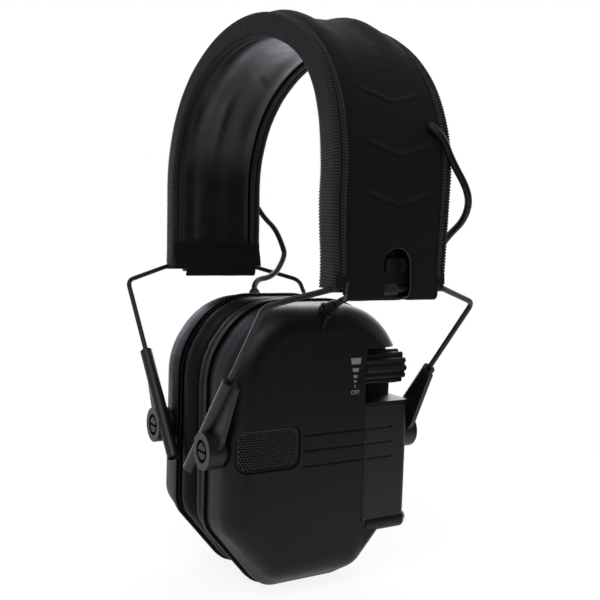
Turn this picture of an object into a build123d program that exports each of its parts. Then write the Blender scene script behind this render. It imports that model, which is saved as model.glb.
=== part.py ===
"""Electronic folding earmuff: padded headband, two wire bails, four sliders, two ear cups.

Frame: millimetres, +Z up, origin at the underside of the headband at its crown.
+X points to the cup with the volume knob (the control cup), -X to the plain cup.
-Y is the front edge of the headband, where the microphones face, and +Y the back edge.
"""
import os
from math import cos, hypot, pi, radians, sin, sqrt, tan

from build123d import *

# ---- headband ----
BAND_WIDTH = 45.5
BAND_THICK = 8.0
CROWN_RADIUS = 86.0  # outer face, over the crown
CROWN_ANGLE = 35.0  # from the vertical, where the crown arc meets the shoulder arc
SHOULDER_RADIUS = 57.0
ARM_ANGLE = 92.0  # where the shoulder arc meets the straight arm, which leans inwards
BINDING_THICK = 0.4
BINDING_LAP = 5.6
COVER_THICK = 1.6
SPRING_THICK = 1.2
SPRING_WIDTH = 30.0
LINER_THICK = 0.8
CHEVRON_WIDTH = 27.0
CHEVRON_DROP = 4.0
CHEVRON_BAND = 3.0
CHEVRON_DEPTH = 0.5
CHEVRON_LEVELS = (-24.0, -42.0, -58.5)
HEM_THICK = 10.2
HEM_ABOVE = 10.5  # top of the hem above the hinge
HEM_FOLD = 3.0  # fabric below the wire
HEM_STEP = 1.4  # the full width ends this far above the wire axis
SLEEVE_HALF = 17.4  # half width of the narrow end that holds the wire
SLEEVE_Y = 1.7  # middle of the narrow end, towards the back edge
WINDOW_HALF = 6.0
WINDOW_ABOVE = 14.5  # top of the opening above the hinge

# ---- hinge plates ----
PLATE_THICK = 2.2
PLATE_HALF = 16.4
BARREL_WALL = 1.0
BARREL_INSET = 1.2  # barrel end from the edge of the opening
BARREL_END = 16.4
HOOK_RADIUS = 4.4
HOOK_WIDTH = 1.6
HOOK_RISE = 1.0
HOOK_DROP = 0.6
HOOK_HEIGHT = 4.6
TONGUE_HALF = 3.6
TONGUE_THICK = 1.0

# ---- wire bail ----
WIRE_RADIUS = 1.05
HINGE_Z = -92.5
HINGE_INSET = 2.2  # wire centre inside the outer face of the arm
RUNNING_FIT = 0.08  # radial clearance of a wire or pin that turns or slides
EXIT_Y = 23.8
SHOULDER_X = 63.1
SHOULDER_Z = -98.4
LEG_Y = 44.6
LEG_ANGLE = 39.6  # lean of the legs from the vertical
LEG_LENGTH = 84.5
EXIT_BEND = 4.0
SHOULDER_BEND = 5.0
WIRE_HEAD_RADIUS = 1.7
WIRE_HEAD_LENGTH = 1.6

# ---- sliders ----
TUBE_RADIUS = 2.5
TUBE_LENGTH = 50.0
HEAD_BORE_RADIUS = 1.95
BOSS_RADIUS = 7.0
BOSS_ALONG = 18.0  # boss centre up from the lower end of the tube
BOSS_OUT = 5.8  # boss centre out from the tube axis
BOSS_FACE = 2.7  # boss face beyond the wire axis
WING_THICK = 2.0
WING_LOW = 12.4  # along the tube, lower edge of the wing
WING_WIDE_END = 27.0
WING_WIDTH = 9.9  # out from the tube axis at its widest
WING_TOP_OUT = 4.0  # out from the tube axis at the top of the tube
WING_SET = 0.3  # outer face of the wing, nearer the cup than the wire axis
HEAD_CLEARANCE = 0.8
RING_WIDTH = 1.2
STUD_RADIUS = 2.4
STUD_HEAD_RADIUS = 3.2
STUD_HEAD_LENGTH = 1.2
STUD_SLOT = 1.0
STUD_HEAD_ROUND = 0.5
STUD_BASE_RADIUS = 4.3
STUD_BASE_THICK = 1.0
STUD_SEAT_WALL = 1.0
STUD_SEAT_DEPTH = 1.5
FACE_GAP = 0.3  # between bodies that move past each other

# ---- cups ----
CUP_HALF_WIDTH = 40.5
CUP_TOP = -101.5
CUP_BOTTOM = -213.0
CUP_OUTER_X = 33.0
CUP_DRAFT = 1.2
BELLY_X = 20.0  # where the lower part of the cup starts to slope inwards
BELLY_RISE = 7.0  # height of the slope at the outer face
TOP_FLAT = 25.0  # half width of the top flat before rounding
TOP_CORNER = 22.0  # height of the top chamfer
BOTTOM_FLAT = 18.5
BOTTOM_CORNER = 27.0
TOP_ROUND = 30.0
BOTTOM_ROUND = 12.0
OUTER_ROUND = 9.5  # soft shoulder round the outer face
WALL = 2.0
RIM_X = 12.0  # inner face of the back plate, where the cushion sits
RIM_THICK = 2.5
RIM_OUT = 1.0
CUSHION_FACE_X = 0.8
CUSHION_INSET = 1.2
EAR_HALF_WIDTH = 20.0
EAR_HALF_HEIGHT = 31.0
EAR_CENTRE_Z = -154.0
EAR_ROUND = 18.0
CUSHION_ROUND = 4.0
CORNER_EASE = 0.4  # how much the flats of the outline grow with it
HOUSING_START_Y = 17.6  # squared block of the control cup, for the cells
HOUSING_TOP = -139.6
HOUSING_BOTTOM = -190.0
HOUSING_ROUND = 2.6
PLATE_LIP = 2.0  # the plate's opening is larger than the ear opening by this much

# ---- inside the cups ----
FOAM_THICK = 3.0
SPEAKER_RADIUS = 14.0
SPEAKER_DEPTH = 6.5
SPEAKER_Y = -5.0
SPEAKER_Z = -152.0
SPEAKER_LIP = 2.0
CONE_RADIUS = 4.2
CONE_DEPTH = 2.0
MAGNET_RADIUS = 8.0
MAGNET_DEPTH = 2.0
SCREW_RADIUS = 1.25
SCREW_HEAD_RADIUS = 2.4
SCREW_HEAD_LENGTH = 1.4
SCREW_LENGTH = 9.0
SCREW_SLOT = 0.6
SCREW_SLOT_DEPTH = 0.7
SCREW_BOSS_RADIUS = 3.2
BOARD_THICK = 1.6
BOARD_Y = (-18.0, 12.0)
BOARD_Z = (-190.0, -147.0)
SCREWS = ((-28.0, -114.0), (9.0, -108.5), (-28.0, -194.0), (13.0, -203.0))

# ---- microphone ----
GRILLE_Y = -23.8
GRILLE_Z = -155.0
GRILLE_WIDTH = 26.4
GRILLE_HEIGHT = 16.4
GRILLE_ROUND = 4.0
GRILLE_THICK = 1.2
GRILLE_SINK = 0.8  # below the cup's face
GRILLE_LEDGE = 1.4
GRILLE_FRAME_DEPTH = 2.0
GRILLE_BORDER = 2.4
FIT = 0.1  # clearance round a piece that seats in its recess
HOLE_PITCH = 2.6
HOLE_SIZE = 1.9  # across the flats
HOLE_SIDES = 6
MIC_RADIUS = 4.8
MIC_DEPTH = 3.0

# ---- engraved lines ----
LINE_Z = (-150.8, -156.8, -162.8)
LINE_WIDTH = 1.0
LINE_DEPTH = 0.5
LINE_START_Y = -9.4
LINE_END_Y = 32.4

# ---- volume knob ----
KNOB_RADIUS = 7.0
KNOB_RIBS = 12
RIB_RADIUS = 1.15
KNOB_X = 26.3
KNOB_Z = -127.5
KNOB_LENGTH = 19.5
KNOB_DISH = 1.0
POCKET_WALL = 0.9
POCKET_START_Y = 18.5
POCKET_TOP = -118.8
POCKET_BOTTOM = -140.5
POCKET_X = 18.9
SHAFT_RADIUS = 3.0
SHAFT_REACH = 9.0
POT_RADIUS = 4.5
POT_DEPTH = 5.0
POT_FLOOR = 1.0

# ---- batteries ----
CELL_RADIUS = 5.25
CELL_LENGTH = 43.6
CELL_NIB_RADIUS = 1.9
CELL_NIB_LENGTH = 0.7
CELL_GAP = 0.2
CELL_X = 24.4
CELL_YS = (19.4, 30.0)
CONTACT_THICK = 0.3
CONTACT_WIDTH = 8.4
SPRING_CONTACT = 0.4
BAY_WALL = 0.6
BAY_TOP = -141.5
BAY_BOTTOM = -186.5
BAY_TOP_X = 28.2
BAY_END_Y = 33.6
DOOR_START_Y = 18.8
DOOR_TOP = -141.9
DOOR_BOTTOM = -187.6
DOOR_EDGE_X = 28.5
DOOR_THICK = 1.8
DOOR_GAP = 0.25
DOOR_PIN_RADIUS = 0.7
DOOR_EDGE_RADIUS = 1.7  # rounded edge of the door round its pin
DOOR_PIN_X = CUP_OUTER_X - DOOR_EDGE_RADIUS
DOOR_PIN_Y = DOOR_START_Y + DOOR_EDGE_RADIUS
DOOR_PIN_REACH = 1.0  # pin into the shell at each end
STEP_DEPTH = 1.2  # the face is lower below the door
STEP_START_Y = 20.0

# ---- audio jack ----
JACK_X = 28.5
JACK_Z = -190.5
JACK_POD_RADIUS = 3.8
JACK_POD_START_Y = 22.0
JACK_POD_END_Y = 40.5
JACK_RADIUS = 2.6
JACK_LENGTH = 13.5
COLLAR_RADIUS = 3.1
JACK_BORE_RADIUS = 1.8
JACK_BORE_LENGTH = 13.0
COLLAR_LENGTH = 1.4

# ---- leads ----
LEAD_DIAMETER = 2.6
ARC_SHARE = 0.45
LEAD_FIRST_RUN = 6.0
LEAD_LAST_RUN = 8.0
LEAD_CORNERS = (
    (78.3, 19.8, -46.0),
    (80.0, 26.8, -54.5),
    (74.5, 31.0, -64.5),
    (64.0, 32.5, -76.0),
    (52.5, 30.0, -87.0),
    (43.5, 19.0, -95.5),
)
UPPER_RUN = 3  # the run of the route in which the first join lies
LOWER_RUN = 5
GLAND_POINT = Vector(29.3, 1.5, -103.8)
GLAND_AXIS = Vector(0.75, 0.35, 0.56).normalized()
GLAND_RADIUS = 2.2
GLAND_RIB_OUT = 0.5
GLAND_RIB_PITCH = 1.6
GLAND_LENGTH = 4.8
GLAND_ROOT = 4.0
EYELET_RADIUS = 2.6
EYELET_LENGTH = 2.2  # along the lead, from the face of the arm
EYELET_ROOT = 6.0
EYELET_LEAN = 55.0  # from the face's normal, down the arm
EYELET_TURN = 20.0  # from straight down, towards the back edge
EYELET_FROM_EDGE = 8.95  # from the back edge of the band to the middle of the sleeve
EYELET_ANGLE = 71.3  # round the arch, from the vertical

# ---- cuts ----
CUT = 1.0  # how far a cutting shape runs past the face that it opens

os.makedirs("parts", exist_ok=True)

SIDES = {"control": 1, "plain": -1}
ENDS = {"front": -1, "back": 1}


def save(shape, name):
    export_step(shape, f"parts/{name}.step")


def mirrored(shape, side):
    """The shape as drawn on the +X side, or its mirror image on the -X side."""
    return shape if side > 0 else mirror(shape, about=Plane.YZ)


def box(x, y, z):
    """A box between the two bounds given for each axis."""
    size = [b - a for a, b in (x, y, z)]
    middle = [(a + b) / 2 for a, b in (x, y, z)]
    return Pos(*middle) * Box(*size)


def cylinder_y(radius, y0, y1, x, z):
    return Pos(x, (y0 + y1) / 2, z) * Rot(90, 0, 0) * Cylinder(radius, y1 - y0)


def cylinder_x(radius, x0, x1, y, z):
    return Pos((x0 + x1) / 2, y, z) * Rot(0, 90, 0) * Cylinder(radius, x1 - x0)


def cylinder_z(radius, z0, z1, x, y):
    return Pos(x, y, (z0 + z1) / 2) * Cylinder(radius, z1 - z0)


# ---------------------------------------------------------------- headband

CROWN_CENTRE = Vector(0, 0, BAND_THICK - CROWN_RADIUS)
SHOULDER_CENTRE = CROWN_CENTRE + Vector(
    sin(radians(CROWN_ANGLE)), 0, cos(radians(CROWN_ANGLE))
) * (CROWN_RADIUS - SHOULDER_RADIUS)


def arch_point(angle, inset):
    """A point of the arch, at an angle from the vertical and an inset from the outer face."""
    on_crown = angle <= CROWN_ANGLE
    centre = CROWN_CENTRE if on_crown else SHOULDER_CENTRE
    radius = (CROWN_RADIUS if on_crown else SHOULDER_RADIUS) - inset
    return centre + Vector(sin(radians(angle)), 0, cos(radians(angle))) * radius


def arm_point(z, inset):
    """A point of the straight arm at a height, at an inset from the outer face."""
    start = arch_point(ARM_ANGLE, inset)
    return start + Vector(1 / tan(radians(ARM_ANGLE)), 0, -1) * (start.Z - z)


def arch_path(inset, z_end):
    """The edges of the arch's profile from the control end to the plain end."""
    middle = (CROWN_ANGLE + ARM_ANGLE) / 2
    right = [
        arm_point(z_end, inset),
        arch_point(ARM_ANGLE, inset),
        arch_point(middle, inset),
        arch_point(CROWN_ANGLE, inset),
    ]
    left = [Vector(-p.X, 0, p.Z) for p in right]
    top = arch_point(0, inset)
    return [
        Line(right[0], right[1]),
        ThreePointArc(right[1], right[2], right[3]),
        ThreePointArc(right[3], top, left[3]),
        ThreePointArc(left[3], left[2], left[1]),
        Line(left[1], left[0]),
    ]


def arch(outer, inner, y0, y1, z_end):
    """A layer of the headband between two insets from its outer face."""
    ends = [
        Line(arm_point(z_end, outer), arm_point(z_end, inner)),
        Line(mirrored_x(arm_point(z_end, outer)), mirrored_x(arm_point(z_end, inner))),
    ]
    edges = arch_path(outer, z_end) + arch_path(inner, z_end) + ends
    face = make_face(Curve() + edges)
    return Pos(0, y0, 0) * extrude(face, amount=y1 - y0, dir=(0, 1, 0))


def mirrored_x(point):
    return Vector(-point.X, point.Y, point.Z)


HEM_TOP = HINGE_Z + HEM_ABOVE
HEM_BOTTOM = HINGE_Z - WIRE_RADIUS - HEM_FOLD
HINGE_X = arm_point(HINGE_Z, HINGE_INSET).X
HALF_BAND = BAND_WIDTH / 2
CORE_HALF = HALF_BAND - BINDING_THICK
WINDOW_TOP = HINGE_Z + WINDOW_ABOVE
BARREL_START = WINDOW_HALF + BARREL_INSET
BARREL_RADIUS = WIRE_RADIUS + RUNNING_FIT + BARREL_WALL


def window(x0, x1):
    """The round-topped opening in the outer face of the control arm."""
    opening = box(
        (x0, x1),
        (SLEEVE_Y - WINDOW_HALF, SLEEVE_Y + WINDOW_HALF),
        (HEM_BOTTOM - CUT, WINDOW_TOP - WINDOW_HALF),
    )
    return opening + cylinder_x(WINDOW_HALF, x0, x1, SLEEVE_Y, WINDOW_TOP - WINDOW_HALF)


def chevron(level):
    """A downward chevron across the outer face of the control arm."""
    half = CHEVRON_WIDTH / 2
    tip = level - CHEVRON_DROP
    outline = Polyline(
        (0, -half, level),
        (0, 0, tip),
        (0, half, level),
        (0, half, level - CHEVRON_BAND),
        (0, 0, tip - CHEVRON_BAND),
        (0, -half, level - CHEVRON_BAND),
        close=True,
    )
    return extrude(make_face(outline), amount=BAND_WIDTH * 2, dir=(1, 0, 0))


def headband():
    binding_inset = BINDING_THICK
    cover_inner = binding_inset + COVER_THICK
    spring_inner = cover_inner + SPRING_THICK
    liner_outer = BAND_THICK - BINDING_THICK - LINER_THICK
    liner_inner = BAND_THICK - BINDING_THICK

    cover = arch(binding_inset, cover_inner, -CORE_HALF, CORE_HALF, HEM_TOP)
    grooves = arch(binding_inset, binding_inset + CHEVRON_DEPTH, -CORE_HALF, CORE_HALF, HEM_TOP)
    for level in CHEVRON_LEVELS:
        mark = chevron(level)
        cover -= grooves & (mark + mirror(mark, about=Plane.YZ))
    for side in SIDES.values():
        cover -= mirrored(window(HINGE_X - HINGE_INSET, HINGE_X + BAND_THICK), side)
    save(cover, "band_cover")

    spring = arch(cover_inner, spring_inner, -SPRING_WIDTH / 2, SPRING_WIDTH / 2, HEM_TOP)
    pad = arch(cover_inner, liner_outer, -CORE_HALF, CORE_HALF, HEM_TOP)
    pad -= arch(cover_inner, spring_inner, -SPRING_WIDTH / 2, SPRING_WIDTH / 2, HEM_TOP - CUT)
    for side in SIDES.values():
        cut = mirrored(window(HINGE_X - HINGE_INSET, HINGE_X + BAND_THICK), side)
        spring -= cut
        pad -= cut
    save(spring, "band_spring")
    save(pad, "band_pad")
    save(arch(liner_outer, liner_inner, -CORE_HALF, CORE_HALF, HEM_TOP), "band_liner")

    for name, end in ENDS.items():
        inner_edge = end * (HALF_BAND - BINDING_LAP)
        outer_edge = end * HALF_BAND
        strip = arch(0, BAND_THICK, min(inner_edge, outer_edge), max(inner_edge, outer_edge), HEM_TOP)
        cut_edge = end * CORE_HALF
        far_edge = end * (HALF_BAND - 2 * BINDING_LAP)
        strip -= arch(
            binding_inset, liner_inner, min(far_edge, cut_edge), max(far_edge, cut_edge), HEM_TOP - CUT
        )
        save(strip, f"binding_{name}")


def hem():
    """The folded fabric end of an arm, with the hinge plate held inside it."""
    outer_x = HINGE_X + HINGE_INSET
    inner_x = outer_x - HEM_THICK
    sleeve = (SLEEVE_Y - SLEEVE_HALF, SLEEVE_Y + SLEEVE_HALF)
    body = box((inner_x, outer_x), sleeve, (HEM_BOTTOM, HEM_TOP))
    body = fillet(body.edges().filter_by(Axis.Y).group_by(Axis.Z)[0], HINGE_INSET - FIT)
    body += box((inner_x, outer_x), (-HALF_BAND, HALF_BAND), (HINGE_Z + HEM_STEP, HEM_TOP))
    body -= cylinder_y(BARREL_RADIUS, sleeve[0] - CUT, sleeve[1] + CUT, HINGE_X, HINGE_Z)
    body -= box(
        (HINGE_X - BARREL_RADIUS, HINGE_X - BARREL_RADIUS + PLATE_THICK),
        (SLEEVE_Y - PLATE_HALF, SLEEVE_Y + PLATE_HALF),
        (HINGE_Z, HEM_TOP + CUT),
    )
    return body - window(HINGE_X - BARREL_RADIUS, outer_x + CUT)


def hinge_plate():
    """The plastic plate at the end of the spring, with two barrels that the wire turns in."""
    back_x = HINGE_X - BARREL_RADIUS
    front_x = back_x + PLATE_THICK
    plate = box((back_x, front_x), (-PLATE_HALF, PLATE_HALF), (HINGE_Z, HEM_TOP))
    hook_z = WINDOW_TOP - WINDOW_HALF - HOOK_DROP
    hook = cylinder_x(HOOK_RADIUS, front_x, front_x + HOOK_RISE, 0, hook_z)
    hook -= cylinder_x(HOOK_RADIUS - HOOK_WIDTH, front_x, front_x + HOOK_RISE, 0, hook_z)
    hook &= box(
        (front_x, front_x + HOOK_RISE),
        (-HOOK_RADIUS, HOOK_RADIUS),
        (HEM_TOP - HOOK_HEIGHT, HEM_TOP),
    )
    plate += hook
    for end in ENDS.values():
        y0, y1 = sorted((end * BARREL_START, end * BARREL_END))
        plate += cylinder_y(BARREL_RADIUS, y0, y1, HINGE_X, HINGE_Z)
    plate -= cylinder_y(WIRE_RADIUS + RUNNING_FIT, -HALF_BAND, HALF_BAND, HINGE_X, HINGE_Z)
    plate -= box(
        (back_x, HINGE_X + BARREL_RADIUS),
        (-BARREL_START, BARREL_START),
        (HINGE_Z - BARREL_RADIUS, HINGE_Z + WIRE_RADIUS + FACE_GAP),
    )
    tongue = box(
        (back_x, back_x + TONGUE_THICK),
        (-TONGUE_HALF, TONGUE_HALF),
        (HEM_BOTTOM, HEM_TOP),
    )
    return Pos(0, SLEEVE_Y, 0) * (plate + tongue)


ARM_NORMAL = Vector(sin(radians(EYELET_ANGLE)), 0, cos(radians(EYELET_ANGLE)))
DOWN_ARM = Vector(ARM_NORMAL.Z, 0, -ARM_NORMAL.X)
ALONG_ARM = DOWN_ARM * cos(radians(EYELET_TURN)) + Vector(0, sin(radians(EYELET_TURN)), 0)
EYELET_AXIS = ARM_NORMAL * cos(radians(EYELET_LEAN)) + ALONG_ARM * sin(radians(EYELET_LEAN))
EYELET_POINT = arch_point(EYELET_ANGLE, BINDING_THICK) + Vector(0, HALF_BAND - EYELET_FROM_EDGE, 0)
LEAD_START = EYELET_POINT + EYELET_AXIS * EYELET_LENGTH
LEAD_END = GLAND_POINT + GLAND_AXIS * GLAND_LENGTH
LEAD_ROUTE = [
    LEAD_START,
    LEAD_START + EYELET_AXIS * LEAD_FIRST_RUN,
    *(Vector(*point) for point in LEAD_CORNERS),
    LEAD_END + GLAND_AXIS * LEAD_LAST_RUN,
    LEAD_END,
]
UPPER_JOIN = (LEAD_ROUTE[UPPER_RUN] + LEAD_ROUTE[UPPER_RUN + 1]) / 2
LOWER_JOIN = (LEAD_ROUTE[LOWER_RUN] + LEAD_ROUTE[LOWER_RUN + 1]) / 2
LEADS = {
    "lead_upper": [*LEAD_ROUTE[: UPPER_RUN + 1], UPPER_JOIN],
    "lead_middle": [UPPER_JOIN, *LEAD_ROUTE[UPPER_RUN + 1 : LOWER_RUN + 1], LOWER_JOIN],
    "lead_lower": [LOWER_JOIN, *LEAD_ROUTE[LOWER_RUN + 1 :]],
}

# ---------------------------------------------------------------- bails and sliders

UP = Vector(sin(radians(LEG_ANGLE)), 0, cos(radians(LEG_ANGLE)))
OUT = Vector(cos(radians(LEG_ANGLE)), 0, -sin(radians(LEG_ANGLE)))
SHOULDER = Vector(SHOULDER_X, 0, SHOULDER_Z)
LEG_END = SHOULDER - UP * LEG_LENGTH
TUBE_END = LEG_END - UP * (WIRE_HEAD_LENGTH + HEAD_CLEARANCE)
BOSS = TUBE_END + UP * BOSS_ALONG + OUT * BOSS_OUT
HALF_SPAN = LEG_Y + BOSS_FACE


def bail():
    """One wire: a leg, a shoulder, the run through the hem, and the same again."""
    points = [
        Vector(LEG_END.X, -LEG_Y, LEG_END.Z),
        Vector(SHOULDER_X, -LEG_Y, SHOULDER_Z),
        Vector(HINGE_X, -EXIT_Y, HINGE_Z),
        Vector(HINGE_X, EXIT_Y, HINGE_Z),
        Vector(SHOULDER_X, LEG_Y, SHOULDER_Z),
        Vector(LEG_END.X, LEG_Y, LEG_END.Z),
    ]
    path = FilletPolyline(*points, radius=[SHOULDER_BEND, EXIT_BEND, EXIT_BEND, SHOULDER_BEND])
    section = Plane(origin=points[0], z_dir=UP) * Circle(WIRE_RADIUS)
    wire = sweep(section, path=path)
    for end in ENDS.values():
        head = Plane(origin=(LEG_END.X, end * LEG_Y, LEG_END.Z), z_dir=-UP)
        wire += head * Pos(0, 0, WIRE_HEAD_LENGTH / 2) * Cylinder(WIRE_HEAD_RADIUS, WIRE_HEAD_LENGTH)
    return wire


def slider(end):
    """A guide tube on the wire, with a wing that widens into the pivot boss."""
    frame = Plane(origin=(TUBE_END.X, end * LEG_Y, TUBE_END.Z), x_dir=OUT, z_dir=UP)
    face_y = HALF_SPAN
    side_plane = Plane(origin=(TUBE_END.X, 0, TUBE_END.Z), x_dir=OUT, z_dir=(0, -1, 0))
    tube = frame * Pos(0, 0, TUBE_LENGTH / 2) * Cylinder(TUBE_RADIUS, TUBE_LENGTH)

    def plate(sketch, y0, y1):
        low, high = sorted((end * y0, end * y1))
        return Pos(0, low, 0) * extrude(side_plane * sketch, amount=high - low, dir=(0, 1, 0))

    wing_outline = Polyline(
        (0, WING_LOW),
        (BOSS_OUT, WING_LOW),
        (WING_WIDTH, BOSS_ALONG),
        (WING_WIDTH, WING_WIDE_END),
        (WING_TOP_OUT, TUBE_LENGTH),
        (0, TUBE_LENGTH),
        close=True,
    )
    wing_face = LEG_Y - WING_SET
    wing = plate(make_face(wing_outline), wing_face - WING_THICK, wing_face)
    boss_face = Pos(BOSS_OUT, BOSS_ALONG) * Circle(BOSS_RADIUS)
    boss_inner = CUP_HALF_WIDTH + FACE_GAP
    boss = plate(boss_face, boss_inner, face_y)
    part = tube + wing + boss
    ring = Pos(BOSS_OUT, BOSS_ALONG) * Circle(STUD_HEAD_RADIUS + RING_WIDTH)
    well_depth = STUD_HEAD_LENGTH + FACE_GAP
    part -= plate(ring, face_y - well_depth, face_y + CUT)
    hole = Pos(BOSS_OUT, BOSS_ALONG) * Circle(STUD_RADIUS + RUNNING_FIT)
    part -= plate(hole, boss_inner - CUT, face_y + CUT)
    part -= frame * Pos(0, 0, TUBE_LENGTH / 2) * Cylinder(WIRE_RADIUS + RUNNING_FIT, TUBE_LENGTH)
    head_room = WIRE_HEAD_LENGTH + HEAD_CLEARANCE + FACE_GAP
    part -= frame * Pos(0, 0, head_room / 2) * Cylinder(HEAD_BORE_RADIUS, head_room)
    return part


def stud(end):
    """A split snap stud fixed in the side of the cup, on the pivot axis."""
    wall = CUP_HALF_WIDTH
    face_y = HALF_SPAN
    head_start = face_y - STUD_HEAD_LENGTH
    base = cylinder_y(STUD_BASE_RADIUS, wall - STUD_BASE_THICK, wall, BOSS.X, BOSS.Z)
    shank = cylinder_y(STUD_RADIUS, wall - STUD_BASE_THICK, face_y, BOSS.X, BOSS.Z)
    head = cylinder_y(STUD_HEAD_RADIUS, head_start, face_y, BOSS.X, BOSS.Z)
    head = fillet(head.edges().group_by(Axis.Y)[-1], STUD_HEAD_ROUND)
    split = box(
        (BOSS.X - STUD_HEAD_RADIUS, BOSS.X + STUD_HEAD_RADIUS),
        (wall + STUD_BASE_THICK, face_y + CUT),
        (BOSS.Z - STUD_SLOT / 2, BOSS.Z + STUD_SLOT / 2),
    )
    solid = base + shank + head - split
    return solid if end > 0 else mirror(solid, about=Plane.XZ)


# ---------------------------------------------------------------- cups


def cup_outline(x, grow=0.0, rise=0.0):
    """The cup's outline, a tall octagon with a domed top, as a face at the given X."""
    side = CUP_HALF_WIDTH + grow
    top = CUP_TOP + grow
    bottom = CUP_BOTTOM - grow + rise
    low_corner = CUP_BOTTOM - grow + BOTTOM_CORNER
    ease = grow * CORNER_EASE
    corners = [
        (-side, low_corner),
        (-BOTTOM_FLAT - ease, bottom),
        (BOTTOM_FLAT + ease, bottom),
        (side, low_corner),
        (side, top - TOP_CORNER),
        (TOP_FLAT + ease, top),
        (-TOP_FLAT - ease, top),
        (-side, top - TOP_CORNER),
    ]
    radii = [BOTTOM_ROUND + grow] * 4 + [TOP_ROUND + grow] * 4
    outline = make_face(FilletPolyline(*corners, radius=radii, close=True))
    return Plane(origin=(x, 0, 0), x_dir=(0, 1, 0), z_dir=(1, 0, 0)) * outline


def cup_form(grow, x0, x1, rounding):
    """The cup's tapered body between two X, with its outer edge rounded."""
    body = loft([cup_outline(BELLY_X, grow), cup_outline(x1, grow - CUP_DRAFT, BELLY_RISE)])
    body = fillet(body.faces().sort_by(Axis.X)[-1].edges(), rounding)
    return body + extrude(cup_outline(x0, grow), amount=BELLY_X - x0)


def skin(grow, control):
    """The solid inside the cup's outer surface, or inside a surface parallel to it."""
    base_x = RIM_X + RIM_THICK
    x1 = CUP_OUTER_X + grow
    form = cup_form(grow, base_x, x1, OUTER_ROUND + grow)
    if not control:
        return form
    block = box(
        (base_x, x1),
        (HOUSING_START_Y - grow, CUP_HALF_WIDTH + grow),
        (HOUSING_BOTTOM - grow, HOUSING_TOP + grow),
    )
    corner = block.edges().filter_by(Axis.Z).group_by(Axis.X)[-1].sort_by(Axis.Y)[-1]
    block = fillet(corner, HOUSING_ROUND + grow)
    return form + (block & extrude(cup_outline(base_x, grow), amount=x1 - base_x))


def rounded_slab(x0, x1, y, z, width, height, radius):
    """A slab with rounded corners, its face across X."""
    plane = Plane(origin=(x0, y, z), x_dir=(0, 1, 0), z_dir=(1, 0, 0))
    return extrude(plane * RectangleRounded(width, height, radius), amount=x1 - x0)


def grille_window(x0, x1, inset):
    width = GRILLE_WIDTH - 2 * inset
    height = GRILLE_HEIGHT - 2 * inset
    return rounded_slab(x0, x1, GRILLE_Y, GRILLE_Z, width, height, GRILLE_ROUND - inset)


def pocket(grow):
    """The open corner that the volume knob sits in, grown by a wall."""
    return box(
        (POCKET_X - grow, CUP_OUTER_X + CUT),
        (POCKET_START_Y - grow, CUP_HALF_WIDTH + CUT),
        (POCKET_BOTTOM - grow, POCKET_TOP + grow),
    )


def door_block(grow):
    """The region of the cup's face that the battery door fills, grown by a gap."""
    return box(
        (DOOR_EDGE_X - grow, CUP_OUTER_X + CUT),
        (DOOR_START_Y - grow, CUP_HALF_WIDTH + CUT),
        (DOOR_BOTTOM - grow, DOOR_TOP + grow),
    )


def face_lines():
    """The three slots that cross the face of the cup."""
    slots = [
        box(
            (CUP_OUTER_X - LINE_DEPTH, CUP_OUTER_X + CUT),
            (LINE_START_Y, LINE_END_Y),
            (z - LINE_WIDTH / 2, z + LINE_WIDTH / 2),
        )
        for z in LINE_Z
    ]
    return slots[0] + slots[1] + slots[2]


def shell(control):
    """The outer shell of a cup, drawn on the +X side."""
    base_x = RIM_X + RIM_THICK
    outer = skin(0, control)
    body = outer - skin(-WALL, control)
    ledge = GRILLE_SINK + GRILLE_THICK
    low_x = CUP_OUTER_X - OUTER_ROUND
    face = skin(0, False)
    body += grille_window(low_x, CUP_OUTER_X, -WALL / 2) & (face - skin(-ledge - GRILLE_FRAME_DEPTH, False))
    body -= grille_window(low_x, CUP_OUTER_X, 0) & (face - skin(-ledge, False))
    body -= grille_window(low_x, CUP_OUTER_X, GRILLE_LEDGE)
    for y, z in SCREWS:
        body += cylinder_x(SCREW_BOSS_RADIUS, base_x, CUP_OUTER_X - WALL, y, z) & outer
        body -= cylinder_x(SCREW_RADIUS + FIT / 2, base_x, RIM_X + SCREW_LENGTH + FIT, y, z)
    for end in ENDS.values():
        seat = sorted((end * (CUP_HALF_WIDTH - STUD_SEAT_DEPTH), end * CUP_HALF_WIDTH))
        body += cylinder_y(STUD_BASE_RADIUS + STUD_SEAT_WALL, *seat, BOSS.X, BOSS.Z)
        recess = sorted((end * (CUP_HALF_WIDTH - STUD_BASE_THICK), end * CUP_HALF_WIDTH))
        body -= cylinder_y(STUD_BASE_RADIUS, *recess, BOSS.X, BOSS.Z)
    if control:
        body += pocket(POCKET_WALL) & outer
        body -= pocket(0)
        body -= cylinder_y(SHAFT_RADIUS + FACE_GAP, 0, POCKET_START_Y, KNOB_X, KNOB_Z)
        body += cylinder_y(JACK_POD_RADIUS, JACK_POD_START_Y, JACK_POD_END_Y, JACK_X, JACK_Z)
        body += door_pin_boss() & outer
        body -= step_space()
        body -= door_block(DOOR_GAP)
        body -= cylinder_y(JACK_RADIUS, JACK_POD_END_Y - JACK_LENGTH, JACK_POD_END_Y, JACK_X, JACK_Z)
        body -= door_pin()
        body -= bay_envelope()
        body -= cell_space()
    body -= face_lines()
    return body - gland_axis() * Cylinder(GLAND_RADIUS, 2 * GLAND_LENGTH + 2 * GLAND_ROOT)


def step_space():
    """The lower level of the face below the battery door."""
    return box(
        (CUP_OUTER_X - STEP_DEPTH, CUP_OUTER_X),
        (STEP_START_Y, CUP_HALF_WIDTH),
        (CUP_BOTTOM, DOOR_BOTTOM),
    ) - cylinder_y(JACK_POD_RADIUS, JACK_POD_START_Y, JACK_POD_END_Y, JACK_X, JACK_Z)


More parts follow.
